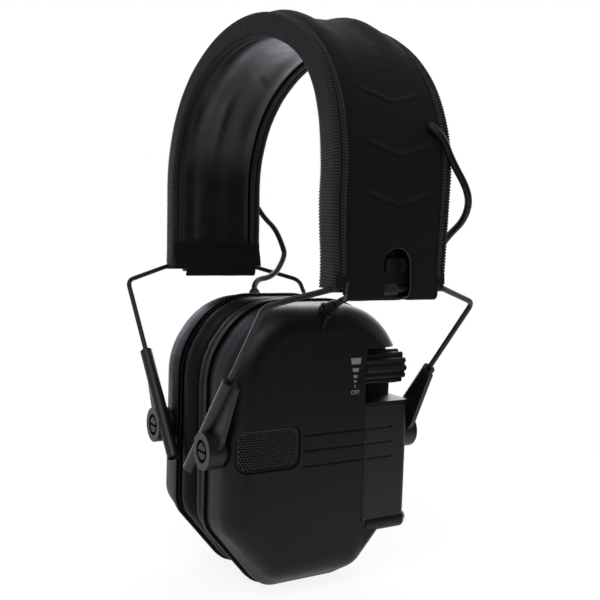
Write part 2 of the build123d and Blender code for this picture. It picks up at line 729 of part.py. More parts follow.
def door_pin_boss():
    """The material below the door that holds the lower end of its pin."""
    return cylinder_z(DOOR_EDGE_RADIUS, DOOR_BOTTOM - 2 * DOOR_PIN_REACH, DOOR_BOTTOM, DOOR_PIN_X, DOOR_PIN_Y)


def bay_envelope():
    """The outside of the battery bay."""
    return box(
        (CELL_X - CELL_RADIUS - CELL_GAP - BAY_WALL, BAY_TOP_X),
        (CELL_YS[0] - CELL_RADIUS - CELL_GAP - BAY_WALL, BAY_END_Y),
        (BAY_BOTTOM - BAY_WALL, BAY_TOP),
    )


def cell_space():
    """The room that the two cells take up."""
    return box(
        (CELL_X - CELL_RADIUS - CELL_GAP, BAY_TOP_X),
        (CELL_YS[0] - CELL_RADIUS - CELL_GAP, CELL_YS[1] + CELL_RADIUS + CELL_GAP),
        (BAY_BOTTOM, BAY_TOP),
    )


def gland_axis():
    return Plane(origin=GLAND_POINT, z_dir=GLAND_AXIS)


def gland():
    """The strain relief where the lead goes into the cup."""
    body = gland_axis() * Pos(0, 0, (GLAND_LENGTH - GLAND_ROOT) / 2) * Cylinder(
        GLAND_RADIUS, GLAND_LENGTH + GLAND_ROOT
    )
    height = GLAND_LENGTH - GLAND_RIB_PITCH / 2
    rib = gland_axis() * Pos(0, 0, height) * Cylinder(GLAND_RADIUS + GLAND_RIB_OUT, GLAND_RIB_PITCH / 2)
    return body + rib


def back_plate():
    """The plate that closes the cup and carries the cushion."""
    plate = extrude(cup_outline(RIM_X, RIM_OUT), amount=RIM_THICK)
    plate -= rounded_slab(
        RIM_X,
        RIM_X + RIM_THICK,
        0,
        EAR_CENTRE_Z,
        2 * (EAR_HALF_WIDTH + PLATE_LIP),
        2 * (EAR_HALF_HEIGHT + PLATE_LIP),
        EAR_ROUND + PLATE_LIP,
    )
    for y, z in SCREWS:
        plate -= cylinder_x(SCREW_HEAD_RADIUS + FIT / 2, RIM_X, RIM_X + SCREW_HEAD_LENGTH, y, z)
        plate -= cylinder_x(SCREW_RADIUS + FIT / 2, RIM_X, RIM_X + RIM_THICK, y, z)
    return plate


def cushion():
    """The sealing ring around the ear."""
    ring = extrude(cup_outline(CUSHION_FACE_X, -CUSHION_INSET), amount=RIM_X - CUSHION_FACE_X)
    ring = fillet(ring.faces().sort_by(Axis.X)[0].edges(), CUSHION_ROUND)
    ring -= rounded_slab(
        CUSHION_FACE_X,
        RIM_X,
        0,
        EAR_CENTRE_Z,
        2 * EAR_HALF_WIDTH,
        2 * EAR_HALF_HEIGHT,
        EAR_ROUND,
    )
    return ring


def screws():
    group = []
    for y, z in SCREWS:
        head = cylinder_x(SCREW_HEAD_RADIUS, RIM_X, RIM_X + SCREW_HEAD_LENGTH, y, z)
        shank = cylinder_x(SCREW_RADIUS, RIM_X, RIM_X + SCREW_LENGTH, y, z)
        slot = box(
            (RIM_X, RIM_X + SCREW_SLOT_DEPTH),
            (y - SCREW_HEAD_RADIUS, y + SCREW_HEAD_RADIUS),
            (z - SCREW_SLOT / 2, z + SCREW_SLOT / 2),
        )
        group.append((head + shank - slot).solid())
    return Compound(children=group)


def foam():
    """The sound-absorbing sheet behind the back plate."""
    base_x = RIM_X + RIM_THICK
    sheet = extrude(cup_outline(base_x, -WALL - CUP_DRAFT - FACE_GAP), amount=FOAM_THICK)
    for y, z in SCREWS:
        sheet -= cylinder_x(SCREW_BOSS_RADIUS + FACE_GAP, base_x, base_x + FOAM_THICK, y, z)
    return sheet


def speaker():
    """The loudspeaker: basket, cone recess and magnet."""
    x0 = RIM_X + RIM_THICK + FOAM_THICK
    body = cylinder_x(SPEAKER_RADIUS, x0, x0 + SPEAKER_DEPTH, SPEAKER_Y, SPEAKER_Z)
    cone = Plane(origin=(x0, SPEAKER_Y, SPEAKER_Z), z_dir=(1, 0, 0)) * Pos(0, 0, CONE_DEPTH / 2) * Cone(
        SPEAKER_RADIUS - SPEAKER_LIP, CONE_RADIUS, CONE_DEPTH
    )
    magnet = cylinder_x(
        MAGNET_RADIUS, x0 + SPEAKER_DEPTH, x0 + SPEAKER_DEPTH + MAGNET_DEPTH, SPEAKER_Y, SPEAKER_Z
    )
    return body - cone + magnet


def grille():
    """The perforated cover of the microphone: rows of hexagonal holes, every other row shifted."""
    hole = RegularPolygon(HOLE_SIZE / 2, HOLE_SIDES, major_radius=False, rotation=180 / HOLE_SIDES)
    row_pitch = HOLE_PITCH * sqrt(3) / 2
    rows = int((GRILLE_HEIGHT / 2 - GRILLE_BORDER) / row_pitch)
    holes = Sketch()
    for row in range(-rows, rows + 1):
        shifted = row % 2
        shift = HOLE_PITCH / 2 * shifted
        columns = int((GRILLE_WIDTH / 2 - GRILLE_BORDER - shift) / HOLE_PITCH)
        for column in range(-columns - shifted, columns + 1):
            y = column * HOLE_PITCH + shift
            z = row * row_pitch
            past_y = abs(y) - GRILLE_WIDTH / 2 + GRILLE_ROUND
            past_z = abs(z) - GRILLE_HEIGHT / 2 + GRILLE_ROUND
            if min(past_y, past_z) > 0 and hypot(past_y, past_z) > GRILLE_ROUND - GRILLE_BORDER:
                continue
            holes += Pos(y, z) * hole
    base_x = RIM_X + RIM_THICK
    plane = Plane(origin=(base_x, GRILLE_Y, GRILLE_Z), x_dir=(0, 1, 0), z_dir=(1, 0, 0))
    sheet = skin(-GRILLE_SINK, False) - skin(-GRILLE_SINK - GRILLE_THICK, False)
    cover = sheet & grille_window(base_x, CUP_OUTER_X, FIT)
    return cover - extrude(plane * holes, amount=CUP_OUTER_X - base_x)


def microphone():
    x1 = CUP_OUTER_X - GRILLE_SINK - GRILLE_THICK
    return cylinder_x(MIC_RADIUS, x1 - MIC_DEPTH, x1, GRILLE_Y, GRILLE_Z)


# ---------------------------------------------------------------- control cup only


def knob():
    """The fluted volume knob, pressed on its shaft."""
    y0 = POCKET_START_Y + FACE_GAP
    core_radius = KNOB_RADIUS - RIB_RADIUS
    outline = Circle(core_radius)
    for i in range(KNOB_RIBS):
        outline += Rot(0, 0, 360 / KNOB_RIBS * i) * Pos(core_radius, 0) * Circle(RIB_RADIUS)
    plane = Plane(origin=(KNOB_X, y0, KNOB_Z), x_dir=(1, 0, 0), z_dir=(0, 1, 0))
    body = extrude(plane * outline, amount=KNOB_LENGTH)
    y1 = y0 + KNOB_LENGTH
    dish = cylinder_y(core_radius - RIB_RADIUS, y1 - KNOB_DISH, y1, KNOB_X, KNOB_Z)
    bore = cylinder_y(SHAFT_RADIUS, y0, y0 + SHAFT_REACH, KNOB_X, KNOB_Z)
    return body - dish - bore


def knob_shaft():
    start = POCKET_START_Y - POCKET_WALL - POT_DEPTH + POT_FLOOR
    return cylinder_y(SHAFT_RADIUS, start, POCKET_START_Y + FACE_GAP + SHAFT_REACH, KNOB_X, KNOB_Z)


def potentiometer():
    end = POCKET_START_Y - POCKET_WALL
    body = cylinder_y(POT_RADIUS, end - POT_DEPTH, end, KNOB_X, KNOB_Z)
    bore = cylinder_y(SHAFT_RADIUS + RUNNING_FIT, end - POT_DEPTH + POT_FLOOR - FIT, end, KNOB_X, KNOB_Z)
    return body - bore


def battery_door():
    """The curved door over the cells, with its inner edge rounded about the hinge pin."""
    edge = box(
        (DOOR_EDGE_X, CUP_OUTER_X),
        (DOOR_START_Y, DOOR_PIN_Y),
        (DOOR_BOTTOM, DOOR_TOP),
    )
    door = ((skin(0, True) - skin(-DOOR_THICK, True)) & door_block(0)) - edge
    door += cylinder_z(DOOR_EDGE_RADIUS, DOOR_BOTTOM, DOOR_TOP, DOOR_PIN_X, DOOR_PIN_Y)
    door -= cylinder_z(DOOR_PIN_RADIUS + RUNNING_FIT, DOOR_BOTTOM, DOOR_TOP, DOOR_PIN_X, DOOR_PIN_Y)
    return door - face_lines()


def door_pin():
    low = DOOR_BOTTOM - DOOR_PIN_REACH
    high = DOOR_TOP + DOOR_PIN_REACH
    return cylinder_z(DOOR_PIN_RADIUS, low, high, DOOR_PIN_X, DOOR_PIN_Y)


def battery_bay():
    """The open tray that holds the cells side by side."""
    return bay_envelope() - cell_space()


def cells():
    """Two cells, one each way up."""
    group = []
    for y, way in zip(CELL_YS, (1, -1)):
        start = BAY_BOTTOM + SPRING_CONTACT if way > 0 else BAY_TOP - SPRING_CONTACT
        shoulder = start + way * CELL_LENGTH
        nib = shoulder + way * CELL_NIB_LENGTH
        body = cylinder_z(CELL_RADIUS, *sorted((start, shoulder)), CELL_X, y)
        group.append((body + cylinder_z(CELL_NIB_RADIUS, *sorted((shoulder, nib)), CELL_X, y)).solid())
    return Compound(children=group)


def contacts():
    """The plates that the cells press on, two at each end of the bay."""
    group = []
    half = CONTACT_WIDTH / 2
    for y, nib_up in zip(CELL_YS, (True, False)):
        low = SPRING_CONTACT if nib_up else CONTACT_THICK
        high = CONTACT_THICK if nib_up else SPRING_CONTACT
        for ends in ((BAY_BOTTOM, BAY_BOTTOM + low), (BAY_TOP - high, BAY_TOP)):
            group.append(box((CELL_X - half, CELL_X + half), (y - half, y + half), ends).solid())
    return Compound(children=group)


def circuit_board():
    x0 = RIM_X + RIM_THICK + FOAM_THICK + SPEAKER_DEPTH + MAGNET_DEPTH
    return box((x0, x0 + BOARD_THICK), BOARD_Y, BOARD_Z)


def audio_jack():
    """The socket in its pod, with a collar that stands out of the mouth."""
    end = JACK_POD_END_Y
    mouth = end + COLLAR_LENGTH
    body = cylinder_y(JACK_RADIUS, end - JACK_LENGTH, end, JACK_X, JACK_Z)
    body += cylinder_y(COLLAR_RADIUS, end, mouth, JACK_X, JACK_Z)
    return body - cylinder_y(JACK_BORE_RADIUS, mouth - JACK_BORE_LENGTH, mouth, JACK_X, JACK_Z)


# ---------------------------------------------------------------- leads


def arc_radii(points):
    """For each inner point, the arc that takes a set share of the shorter run beside it."""
    radii = []
    for before, point, after in zip(points, points[1:], points[2:]):
        arriving = point - before
        leaving = after - point
        turn = radians(arriving.get_angle(leaving))
        radii.append(ARC_SHARE * min(arriving.length, leaving.length) / tan(turn / 2))
    return radii


def lead(name, points):
    """A round lead along straight runs joined by arcs."""
    radii = arc_radii(points)
    path = FilletPolyline(*points, radius=radii)
    section = Plane(origin=points[0], z_dir=points[1] - points[0]) * Circle(LEAD_DIAMETER / 2)
    tube = sweep(section, path=path)
    length = sum(e.length for e in path.edges())
    ideal = length * pi * (LEAD_DIAMETER / 2) ** 2
    print(f"{name}: {length:.1f} mm, radii {[round(r, 1) for r in radii]}, volume {tube.volume / ideal:.4f}")
    return tube


def eyelet():
    """The rubber sleeve through which the lead comes slantwise out of the arm."""
    plane = Plane(origin=EYELET_POINT, z_dir=EYELET_AXIS)
    sleeve = plane * Pos(0, 0, (EYELET_LENGTH - EYELET_ROOT) / 2) * Cylinder(
        EYELET_RADIUS, EYELET_LENGTH + EYELET_ROOT
    )
    return sleeve - arch(BINDING_THICK, CROWN_RADIUS / 2, -HALF_BAND, HALF_BAND, HEM_TOP)


def main():
    headband()
    for name, side in SIDES.items():
        control = side > 0
        parts = {
            "hem": hem(),
            "hinge_plate": hinge_plate(),
            "bail": bail(),
            "shell": shell(control),
            "back_plate": back_plate(),
            "cushion": cushion(),
            "screws": screws(),
            "foam": foam(),
            "speaker": speaker(),
            "mic_grille": grille(),
            "microphone": microphone(),
            "gland": gland(),
            "eyelet": eyelet(),
        }
        for end_name, end in ENDS.items():
            parts[f"slider_{end_name}"] = slider(end)
            parts[f"stud_{end_name}"] = stud(end)
        for lead_name, points in LEADS.items():
            parts[lead_name] = lead(f"{name} {lead_name}", points)
        for part_name, shape in parts.items():
            save(mirrored(shape, side), f"{name}_{part_name}")
    save(knob(), "volume_knob")
    save(knob_shaft(), "knob_shaft")
    save(potentiometer(), "potentiometer")
    save(battery_door(), "battery_door")
    save(door_pin(), "door_pin")
    save(battery_bay(), "battery_bay")
    save(cells(), "cells")
    save(contacts(), "battery_contacts")
    save(circuit_board(), "circuit_board")
    save(audio_jack(), "audio_jack")


main()
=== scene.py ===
"""Looks of an electronic folding earmuff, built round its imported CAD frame, in metres."""

from math import atan2, ceil, cos, exp, hypot, pi, radians, sin, sqrt, tan

import bmesh
import bpy
import numpy as np
from mathutils import Matrix, Vector, noise


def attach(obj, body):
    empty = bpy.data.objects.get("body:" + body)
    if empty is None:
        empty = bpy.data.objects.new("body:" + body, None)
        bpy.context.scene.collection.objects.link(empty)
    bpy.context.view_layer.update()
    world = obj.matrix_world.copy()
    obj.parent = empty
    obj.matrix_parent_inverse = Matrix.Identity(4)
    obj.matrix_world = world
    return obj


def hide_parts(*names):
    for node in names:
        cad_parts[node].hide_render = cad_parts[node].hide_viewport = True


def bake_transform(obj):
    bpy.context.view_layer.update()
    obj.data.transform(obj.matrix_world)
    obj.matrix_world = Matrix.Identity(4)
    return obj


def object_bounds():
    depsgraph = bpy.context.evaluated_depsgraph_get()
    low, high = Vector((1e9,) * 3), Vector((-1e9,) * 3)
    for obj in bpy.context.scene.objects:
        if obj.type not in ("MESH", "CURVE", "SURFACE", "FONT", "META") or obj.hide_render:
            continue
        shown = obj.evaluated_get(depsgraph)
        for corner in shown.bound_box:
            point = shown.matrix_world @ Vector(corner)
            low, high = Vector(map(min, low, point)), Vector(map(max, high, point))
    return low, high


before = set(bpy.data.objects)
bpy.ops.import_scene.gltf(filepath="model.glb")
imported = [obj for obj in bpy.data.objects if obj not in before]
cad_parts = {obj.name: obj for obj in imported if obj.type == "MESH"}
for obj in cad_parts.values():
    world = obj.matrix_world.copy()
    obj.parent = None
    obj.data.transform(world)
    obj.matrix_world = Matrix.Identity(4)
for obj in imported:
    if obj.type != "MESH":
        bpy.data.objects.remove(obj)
cad_low, cad_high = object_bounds()
scene = bpy.context.scene
MM = 0.001
SIDES = {"control": 1, "plain": -1}


def spot(x, y, z):
    """A place in the scene, from its millimetres."""
    return Vector((x, y, z)) * MM


def place(name, data):
    thing = bpy.data.objects.new(name, data)
    scene.collection.objects.link(thing)
    return thing


# ---------------------------------------------------------------- shader nodes

class Nodes:
    """A node tree whose nodes are made with their settings and inputs."""

    def __init__(self, tree):
        self.tree = tree

    def feed(self, socket, value):
        """Sets an input to a plain value, or links it to another node's output."""
        if isinstance(value, bpy.types.NodeSocket):
            self.tree.links.new(value, socket)
        else:
            socket.default_value = value

    def add(self, kind, inputs=None, **settings):
        node = self.tree.nodes.new("ShaderNode" + kind)
        for name, value in settings.items():
            setattr(node, name, value)
        for key, value in (inputs or {}).items():
            self.feed(node.inputs[key], value)
        return node

    def math(self, operation, a, b=0.0):
        return self.add("Math", {0: a, 1: b}, operation=operation).outputs[0]

    def spread(self, value, low, high, from_low=0.0, from_high=1.0, **settings):
        """Maps a value from one range to another."""
        ends = {"Value": value, "From Min": from_low, "From Max": from_high, "To Min": low, "To Max": high}
        return self.add("MapRange", ends, **settings).outputs["Result"]

    def mix(self, share, first, second):
        return self.add("MixShader", {"Fac": share, 1: first, 2: second}).outputs[0]


# ---------------------------------------------------------------- camera, lamps, floor

CAMERA_PLACE = spot(310.95, -182.09, -73.05)
CAMERA_ANGLES = (31.316, -4.615, 1.890)
CAMERA_LENS = 52.76
FLOOR_RADIUS = 1.4
FLOOR_GAP = 0.0004
FLOOR_GLOW = 1.23
# how much of the floor's look is its glow, and how much of that a reflection sees
FLOOR_GLOW_SHARE, MIRRORED_SHARE = 0.72, 0.55


def make_camera():
    data = bpy.data.cameras.new("camera")
    data.sensor_width = 36.0
    data.lens = CAMERA_LENS
    data.clip_start = 0.01
    camera = place("camera", data)
    yaw, pitch, roll = (radians(angle) for angle in CAMERA_ANGLES)
    look = Vector((-cos(pitch) * cos(yaw), cos(pitch) * sin(yaw), sin(pitch)))
    level = look.cross(Vector((0, 0, 1))).normalized()
    upright = level.cross(look)
    right = level * cos(roll) + upright * sin(roll)
    up = upright * cos(roll) - level * sin(roll)
    turn = Matrix((right, up, -look)).transposed().to_4x4()
    camera.matrix_world = Matrix.Translation(CAMERA_PLACE) @ turn
    scene.camera = camera


def lamp(name, location, aim, size, power):
    data = bpy.data.lights.new(name, "AREA")
    data.shape = "RECTANGLE"
    data.size, data.size_y = size
    data.energy = power
    light = place(name, data)
    light.location = location
    light.rotation_mode = "QUATERNION"
    light.rotation_quaternion = (Vector(aim) - Vector(location)).to_track_quat("-Z", "Y")


def make_world():
    """White to the camera, soft light for the rest, and a room of its own for glossy surfaces."""
    world = bpy.data.worlds.new("studio")
    scene.world = world
    world.use_nodes = True
    world.node_tree.nodes.clear()
    nodes = Nodes(world.node_tree)
    path = nodes.add("LightPath").outputs
    where = nodes.add("TexCoord").outputs["Generated"]

    def glow(direction, start, end, low, high):
        along = nodes.add("VectorMath", {0: where, 1: direction}, operation="DOT_PRODUCT").outputs["Value"]
        return nodes.spread(along, low, high, start, end, interpolation_type="SMOOTHSTEP")

    def light(colour, strength):
        return nodes.add("Background", {"Color": (*colour, 1), "Strength": strength}).outputs[0]

    # glossy surfaces see a white backdrop behind, a pale floor and a dim room with one dark side
    side_wall = glow((0.84, 0.53, 0.1), 0.3, 0.92, 0.5, 0.03)
    backdrop = glow((-0.85, 0.52, 0.0), 0.45, 0.98, 0.0, 3.0)
    pale_floor = glow((0, 0, -1), 0.12, 0.6, 0.0, 0.75)
    brightest = nodes.math("MAXIMUM", nodes.math("MAXIMUM", side_wall, backdrop), pale_floor)
    plain, shiny = light((0.94, 0.97, 1.06), 0.22), light((0.93, 0.95, 1.06), brightest)
    room = nodes.mix(path["Is Glossy Ray"], plain, shiny)
    seen = nodes.math("MAXIMUM", path["Is Camera Ray"], path["Is Transmission Ray"])
    nodes.add("OutputWorld", {"Surface": nodes.mix(seen, room, light((1, 1, 1), 1.0))})


def make_floor():
    """A pale disc under the object that keeps its shadow and fades into the white room."""
    bm = bmesh.new()
    bmesh.ops.create_circle(bm, cap_ends=True, segments=96, radius=FLOOR_RADIUS)
    mesh = bpy.data.meshes.new("floor")
    bm.to_mesh(mesh)
    bm.free()
    floor = place("floor", mesh)
    floor.location = (0, 0, cad_low.z - FLOOR_GAP)
    material = bpy.data.materials.new("floor")
    material.use_nodes = True
    material.node_tree.nodes.clear()
    nodes = Nodes(material.node_tree)
    path = nodes.add("LightPath").outputs
    mirrored = nodes.math("MULTIPLY", path["Is Glossy Ray"], MIRRORED_SHARE)
    seen = nodes.math("MAXIMUM", path["Is Camera Ray"], mirrored)
    share = nodes.math("MULTIPLY", seen, FLOOR_GLOW_SHARE)
    paint = nodes.add("BsdfDiffuse", {"Color": (0.92, 0.92, 0.92, 1)}).outputs[0]
    glow = nodes.add("Emission", {"Strength": FLOOR_GLOW}).outputs[0]
    where = nodes.add("TexCoord").outputs["Object"]
    reach = nodes.add("VectorMath", {0: where}, operation="LENGTH").outputs["Value"]
    fade = nodes.spread(reach, 0.0, 1.0, 0.10, 0.42, interpolation_type="SMOOTHSTEP")
    clear = nodes.add("BsdfTransparent").outputs[0]
    nodes.add("OutputMaterial", {"Surface": nodes.mix(fade, nodes.mix(share, paint, glow), clear)})
    floor.data.materials.append(material)


make_camera()
scene.view_settings.view_transform = "Standard"
make_world()
make_floor()
lamp("key", (0.55, -0.55, 0.75), (0, 0, -0.1), (0.7, 0.7), 3.6)
lamp("side", (0.45, 1.1, 0.1), (0, 0, -0.12), (0.5, 0.9), 1.5)
lamp("rear", (-0.8, 0.5, 0.55), (0, 0, -0.1), (0.8, 0.6), 3.5)


# ---------------------------------------------------------------- materials

# the scale at which the wave texture repeats about once in each unit
ONE_WAVE = 0.31


class Paint(Nodes):
    """A Principled material whose colour, roughness and bump come from a few noise layers."""

    def __init__(self, name, rough, metallic=0.0, specular=0.5, **plain):
        self.material = bpy.data.materials.new(name)
        self.material.use_nodes = True
        super().__init__(self.material.node_tree)
        self.give(Roughness=rough, Metallic=metallic, Specular_IOR_Level=specular, **plain)
        self.normal = None
        self.where = self.add("TexCoord").outputs["Object"]

    def give(self, **inputs):
        """Sets inputs of the Principled shader, with _ for each space of their names."""
        for name, value in inputs.items():
            self.feed(self.tree.nodes["Principled BSDF"].inputs[name.replace("_", " ")], value)

    def attribute(self, name):
        return self.add("Attribute", attribute_name=name).outputs["Vector"]

    def part(self, vector, axis):
        return self.add("SeparateXYZ", {0: vector}).outputs[axis]

    def stretched(self, vector, scale):
        return self.add("VectorMath", {0: vector, 1: scale}, operation="MULTIPLY").outputs[0]

    def noise(self, scale, detail=3.0, vector=None, rough=0.5):
        look = {"Scale": scale, "Detail": detail, "Roughness": rough, "Vector": vector or self.where}
        return self.add("TexNoise", look).outputs["Fac"]

    def cells(self, scale):
        return self.add("TexVoronoi", {"Scale": scale, "Vector": self.where}).outputs["Distance"]

    def wave(self, vector, direction):
        look = {"Scale": ONE_WAVE, "Vector": vector}
        return self.add("TexWave", look, bands_direction=direction).outputs["Fac"]

    def blend(self, a, share_a, b, share_b):
        return self.math("ADD", self.math("MULTIPLY", a, share_a), self.math("MULTIPLY", b, share_b))

    def colour(self, value, *stops):
        """Colours the material by a ramp with the stops (place, colour)."""
        node = self.add("ValToRGB", {"Fac": value})
        elements = node.color_ramp.elements
        while len(elements) < len(stops):
            elements.new(0.5)
        for element, (at, colour) in zip(elements, stops):
            element.position = at
            element.color = (*colour, 1)
        self.give(Base_Color=node.outputs["Color"])

    def rough(self, value, low, high, from_low=0.0, from_high=1.0):
        self.give(Roughness=self.spread(value, low, high, from_low, from_high))

    def bump(self, height, distance, strength):
        look = {"Distance": distance, "Strength": strength, "Height": height}
        if self.normal is not None:
            look["Normal"] = self.normal
        self.normal = self.add("Bump", look).outputs["Normal"]

    def soft_edges(self, radius):
        self.normal = self.add("Bevel", {"Radius": radius}, samples=6).outputs["Normal"]

    def done(self):
        self.give(Normal=self.normal)
        return self.material


def tint(level, cool=1.06):
    """A near-neutral dark colour, very slightly cool."""
    return (level, level, level * cool)


def fabric(name, level, pitch, flat=True, specular=0.12, ridge_highlight=0.0):
    """Woven cloth: two crossing thread directions, fuzz, a faint unevenness of the dye, and a painted
    highlight along ridges.
    """
    paint = Paint(name, 0.85, specular=specular, Sheen_Weight=0.06, Sheen_Roughness=0.5)
    vector = paint.attribute("flat") if flat else paint.where
    scale = 1.0 / (pitch if flat else pitch * MM)
    threads = paint.stretched(vector, (scale, scale, scale))
    woven = paint.math("MULTIPLY", paint.wave(threads, "X"), paint.wave(threads, "Y"))
    fuzz = paint.noise(2600.0, 4.0)
    dye = paint.noise(55.0)
    shade = paint.math("MULTIPLY", paint.blend(woven, 0.45, dye, 0.55), 0.6)
    stops = [(0.1, tint(level * 0.8)), (0.5, tint(level * 1.2))]
    if ridge_highlight:
        # painted highlight: the ridge tops, held in the third part of flat, are painted paler
        rubbed = paint.math("MULTIPLY", paint.part(vector, "Z"), paint.spread(fuzz, 0.3, 0.7))
        shade = paint.math("ADD", shade, rubbed)
        stops.append((1.0, tint(ridge_highlight)))
    paint.colour(shade, *stops)
    paint.rough(fuzz, 0.78, 0.95)
    paint.bump(dye, 0.0004, 0.3)
    paint.bump(woven, 0.00018, 0.45)
    paint.bump(fuzz, 0.00012, 0.5)
    return paint.done()


def ribbed(name, level):
    """Corded ribbon, read from the ribbon's own lay: rib tops painted paler as a painted highlight, and the
    gaps between them painted dark as painted shade.
    """
    paint = Paint(name, 0.6, specular=0.35, Sheen_Weight=0.05, Sheen_Roughness=0.4)
    rib = paint.part(paint.attribute("flat"), "Z")
    fuzz = paint.noise(2600.0, 4.0)
    # painted shade in the gaps between the ribs, painted highlight on their tops
    paint.colour(rib, (0.3, tint(level * 0.05)), (0.72, tint(level * 0.7)), (1.0, tint(level * 2.3)))
    paint.rough(fuzz, 0.5, 0.75)
    paint.bump(fuzz, 0.0001, 0.4)
    return paint.done()


def leather(name, level, rough, specular):
    """Smooth synthetic leather: fine grain, soft creases, and rubbed lighter patches."""
    paint = Paint(name, rough, specular=specular, Coat_Weight=0.12, Coat_Roughness=0.4)
    grain = paint.cells(1500.0)
    crease = paint.noise(120.0, 5.0, rough=0.62)
    broad = paint.noise(30.0, 2.0)
    shade = paint.blend(grain, 0.35, broad, 0.6)
    paint.colour(shade, (0.15, tint(level * 0.7, 1.1)), (0.85, tint(level * 1.4, 1.1)))
    paint.rough(crease, rough - 0.07, rough + 0.12, 0.3, 0.7)
    paint.bump(broad, 0.0012, 0.15)
    paint.bump(crease, 0.0003, 0.12)
    paint.bump(grain, 0.00008, 0.25)
    return paint.done()


def moulded(name, level, rough, specular=0.5, grain=0.35, edge=0.00035, cool=1.06):
    """Moulded plastic: spark-eroded texture, faint flow mottling, and rounded, slightly polished edges."""
    paint = Paint(name, rough, specular=specular)
    paint.soft_edges(edge)
    pits = paint.noise(3200.0, 4.0)
    flow = paint.noise(26.0)
    scuff = paint.noise(210.0, 5.0, rough=0.7)
    paint.colour(flow, (0.3, tint(level * 0.86, cool)), (0.7, tint(level * 1.16, cool)))
    paint.rough(paint.blend(scuff, 0.6, pits, 0.4), rough - 0.07, rough + 0.08, 0.3, 0.7)
    paint.bump(pits, 0.00006, grain)
    return paint.done()


def metal(name, level, rough, metallic=1.0, cool=1.0):
    """Turned or drawn metal: fine drawing marks and small dull patches."""
    paint = Paint(name, rough, metallic=metallic)
    paint.soft_edges(0.0001)
    marks = paint.noise(900.0, 3.0, paint.stretched(paint.where, (1.0, 0.12, 1.0)))
    dull = paint.noise(160.0, 4.0)
    paint.colour(dull, (0.3, tint(level * 0.88, cool)), (0.7, tint(level * 1.08, cool)))
    paint.rough(marks, rough - 0.06, rough + 0.1, 0.3, 0.7)
    paint.bump(marks, 0.00004, 0.2)
    return paint.done()


def sponge(name, colour):
    """Open-cell foam."""
    paint = Paint(name, 0.95, specular=0.2)
    pores = paint.cells(900.0)
    # painted shade: the pores' pits are painted darker
    paint.colour(pores, (0.1, tuple(c * 0.35 for c in colour)), (0.6, colour))
    paint.bump(pores, 0.0006, 0.9)
    return paint.done()


def hinge_paint():
    """Dark plate whose tongue, at its foot, is a paler brown."""
    paint = Paint("hinge_plastic", 0.5, specular=0.3)
    paint.soft_edges(0.0003)
    low = paint.spread(paint.part(paint.where, "Z"), 0.0, 1.0, -0.0900, -0.0912)
    aside = paint.spread(paint.part(paint.where, "Y"), 1.0, 0.0, 0.0025, 0.0032)
    grime = paint.noise(400.0, 4.0)
    foot = paint.math("MULTIPLY", paint.math("MULTIPLY", low, aside), paint.spread(grime, 0.8, 1.0))
    paint.colour(foot, (0.1, (0.0035, 0.0035, 0.0037)), (0.9, (0.036, 0.032, 0.031)))
    paint.bump(grime, 0.0001, 0.3)
    return paint.done()


MATERIALS = {
    # the cover's chevron ridges get a painted highlight of this level
    "cloth": fabric("cover_cloth", 0.0098, 0.55, ridge_highlight=0.05),
    "ribbon": ribbed("ribbon_cloth", 0.018),
    # pale welts that are painted highlights along the window's edge and the sleeve's fold
    "edge": moulded("window_edge", 0.035, 0.4, cool=0.98),
    "liner": leather("liner_leather", 0.0045, 0.35, 0.5),
    "cushion": leather("cushion_leather", 0.0022, 0.5, 0.1),
    "shell": moulded("soft_touch_shell", 0.0038, 0.43, specular=0.3),
    # the door is the shell's plastic painted lighter, a painted highlight for the light its face catches
    "door": moulded("door_plastic_painted_lighter", 0.008, 0.43, specular=0.42),
    "rim": moulded("rim_plastic", 0.003, 0.45, specular=0.14),
    "slider": moulded("slider_plastic", 0.011, 0.38, specular=0.4),
    "stud": moulded("stud_plastic", 0.005, 0.42, specular=0.3),
    "knob": moulded("knob_rubber", 0.006, 0.5, specular=0.4, grain=0.5),
    "hinge": hinge_paint(),
    "tongue": moulded("tongue_plastic", 0.024, 0.5, specular=0.25, cool=0.95),
    "wire": metal("black_wire", 0.009, 0.36, metallic=0.25),
    "steel": metal("spring_steel", 0.35, 0.3),
    "screw": metal("screw_steel", 0.4, 0.28),
    "jack": metal("jack_nickel", 0.75, 0.25),
    "contact": metal("contact_nickel", 0.55, 0.25),
    "grille": metal("grille_paint", 0.022, 0.42, metallic=0.15, cool=1.1),
    "micro": metal("microphone_can", 0.3, 0.35),
    "rubber": moulded("gland_rubber", 0.005, 0.5, specular=0.25, grain=0.4),
    "lead": moulded("lead_jacket", 0.006, 0.36, specular=0.28, grain=0.15, edge=0.0001),
    "thread": fabric("thread", 0.008, 0.3, flat=False, specular=0.1),
    "ink": moulded("grey_print", 0.45, 0.6, specular=0.3, cool=1.0),
    "foam": sponge("grey_foam", (0.04, 0.04, 0.045)),
    "cone": moulded("speaker_plastic", 0.02, 0.5),
    # near-black, as painted shade seen through the grille's holes
    "hole": moulded("grille_hole_shade", 0.0012, 0.8, specular=0.05),
    "bay": moulded("bay_plastic", 0.02, 0.5),
    "wrap": moulded("cell_wrap", 0.05, 0.3),
    "board": moulded("board_resist", 0.03, 0.35, cool=0.6),
}


def dress(node, material):
    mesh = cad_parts[node].data
    mesh.materials.clear()
    mesh.materials.append(MATERIALS[material])


# ---------------------------------------------------------------- mesh helpers

def new_piece(mesh, material, body):
    """The visible piece of a mesh, with the mesh's name."""
    piece = place(mesh.name, mesh)
    mesh.materials.append(MATERIALS[material])
    if body:
        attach(piece, body)
    return piece


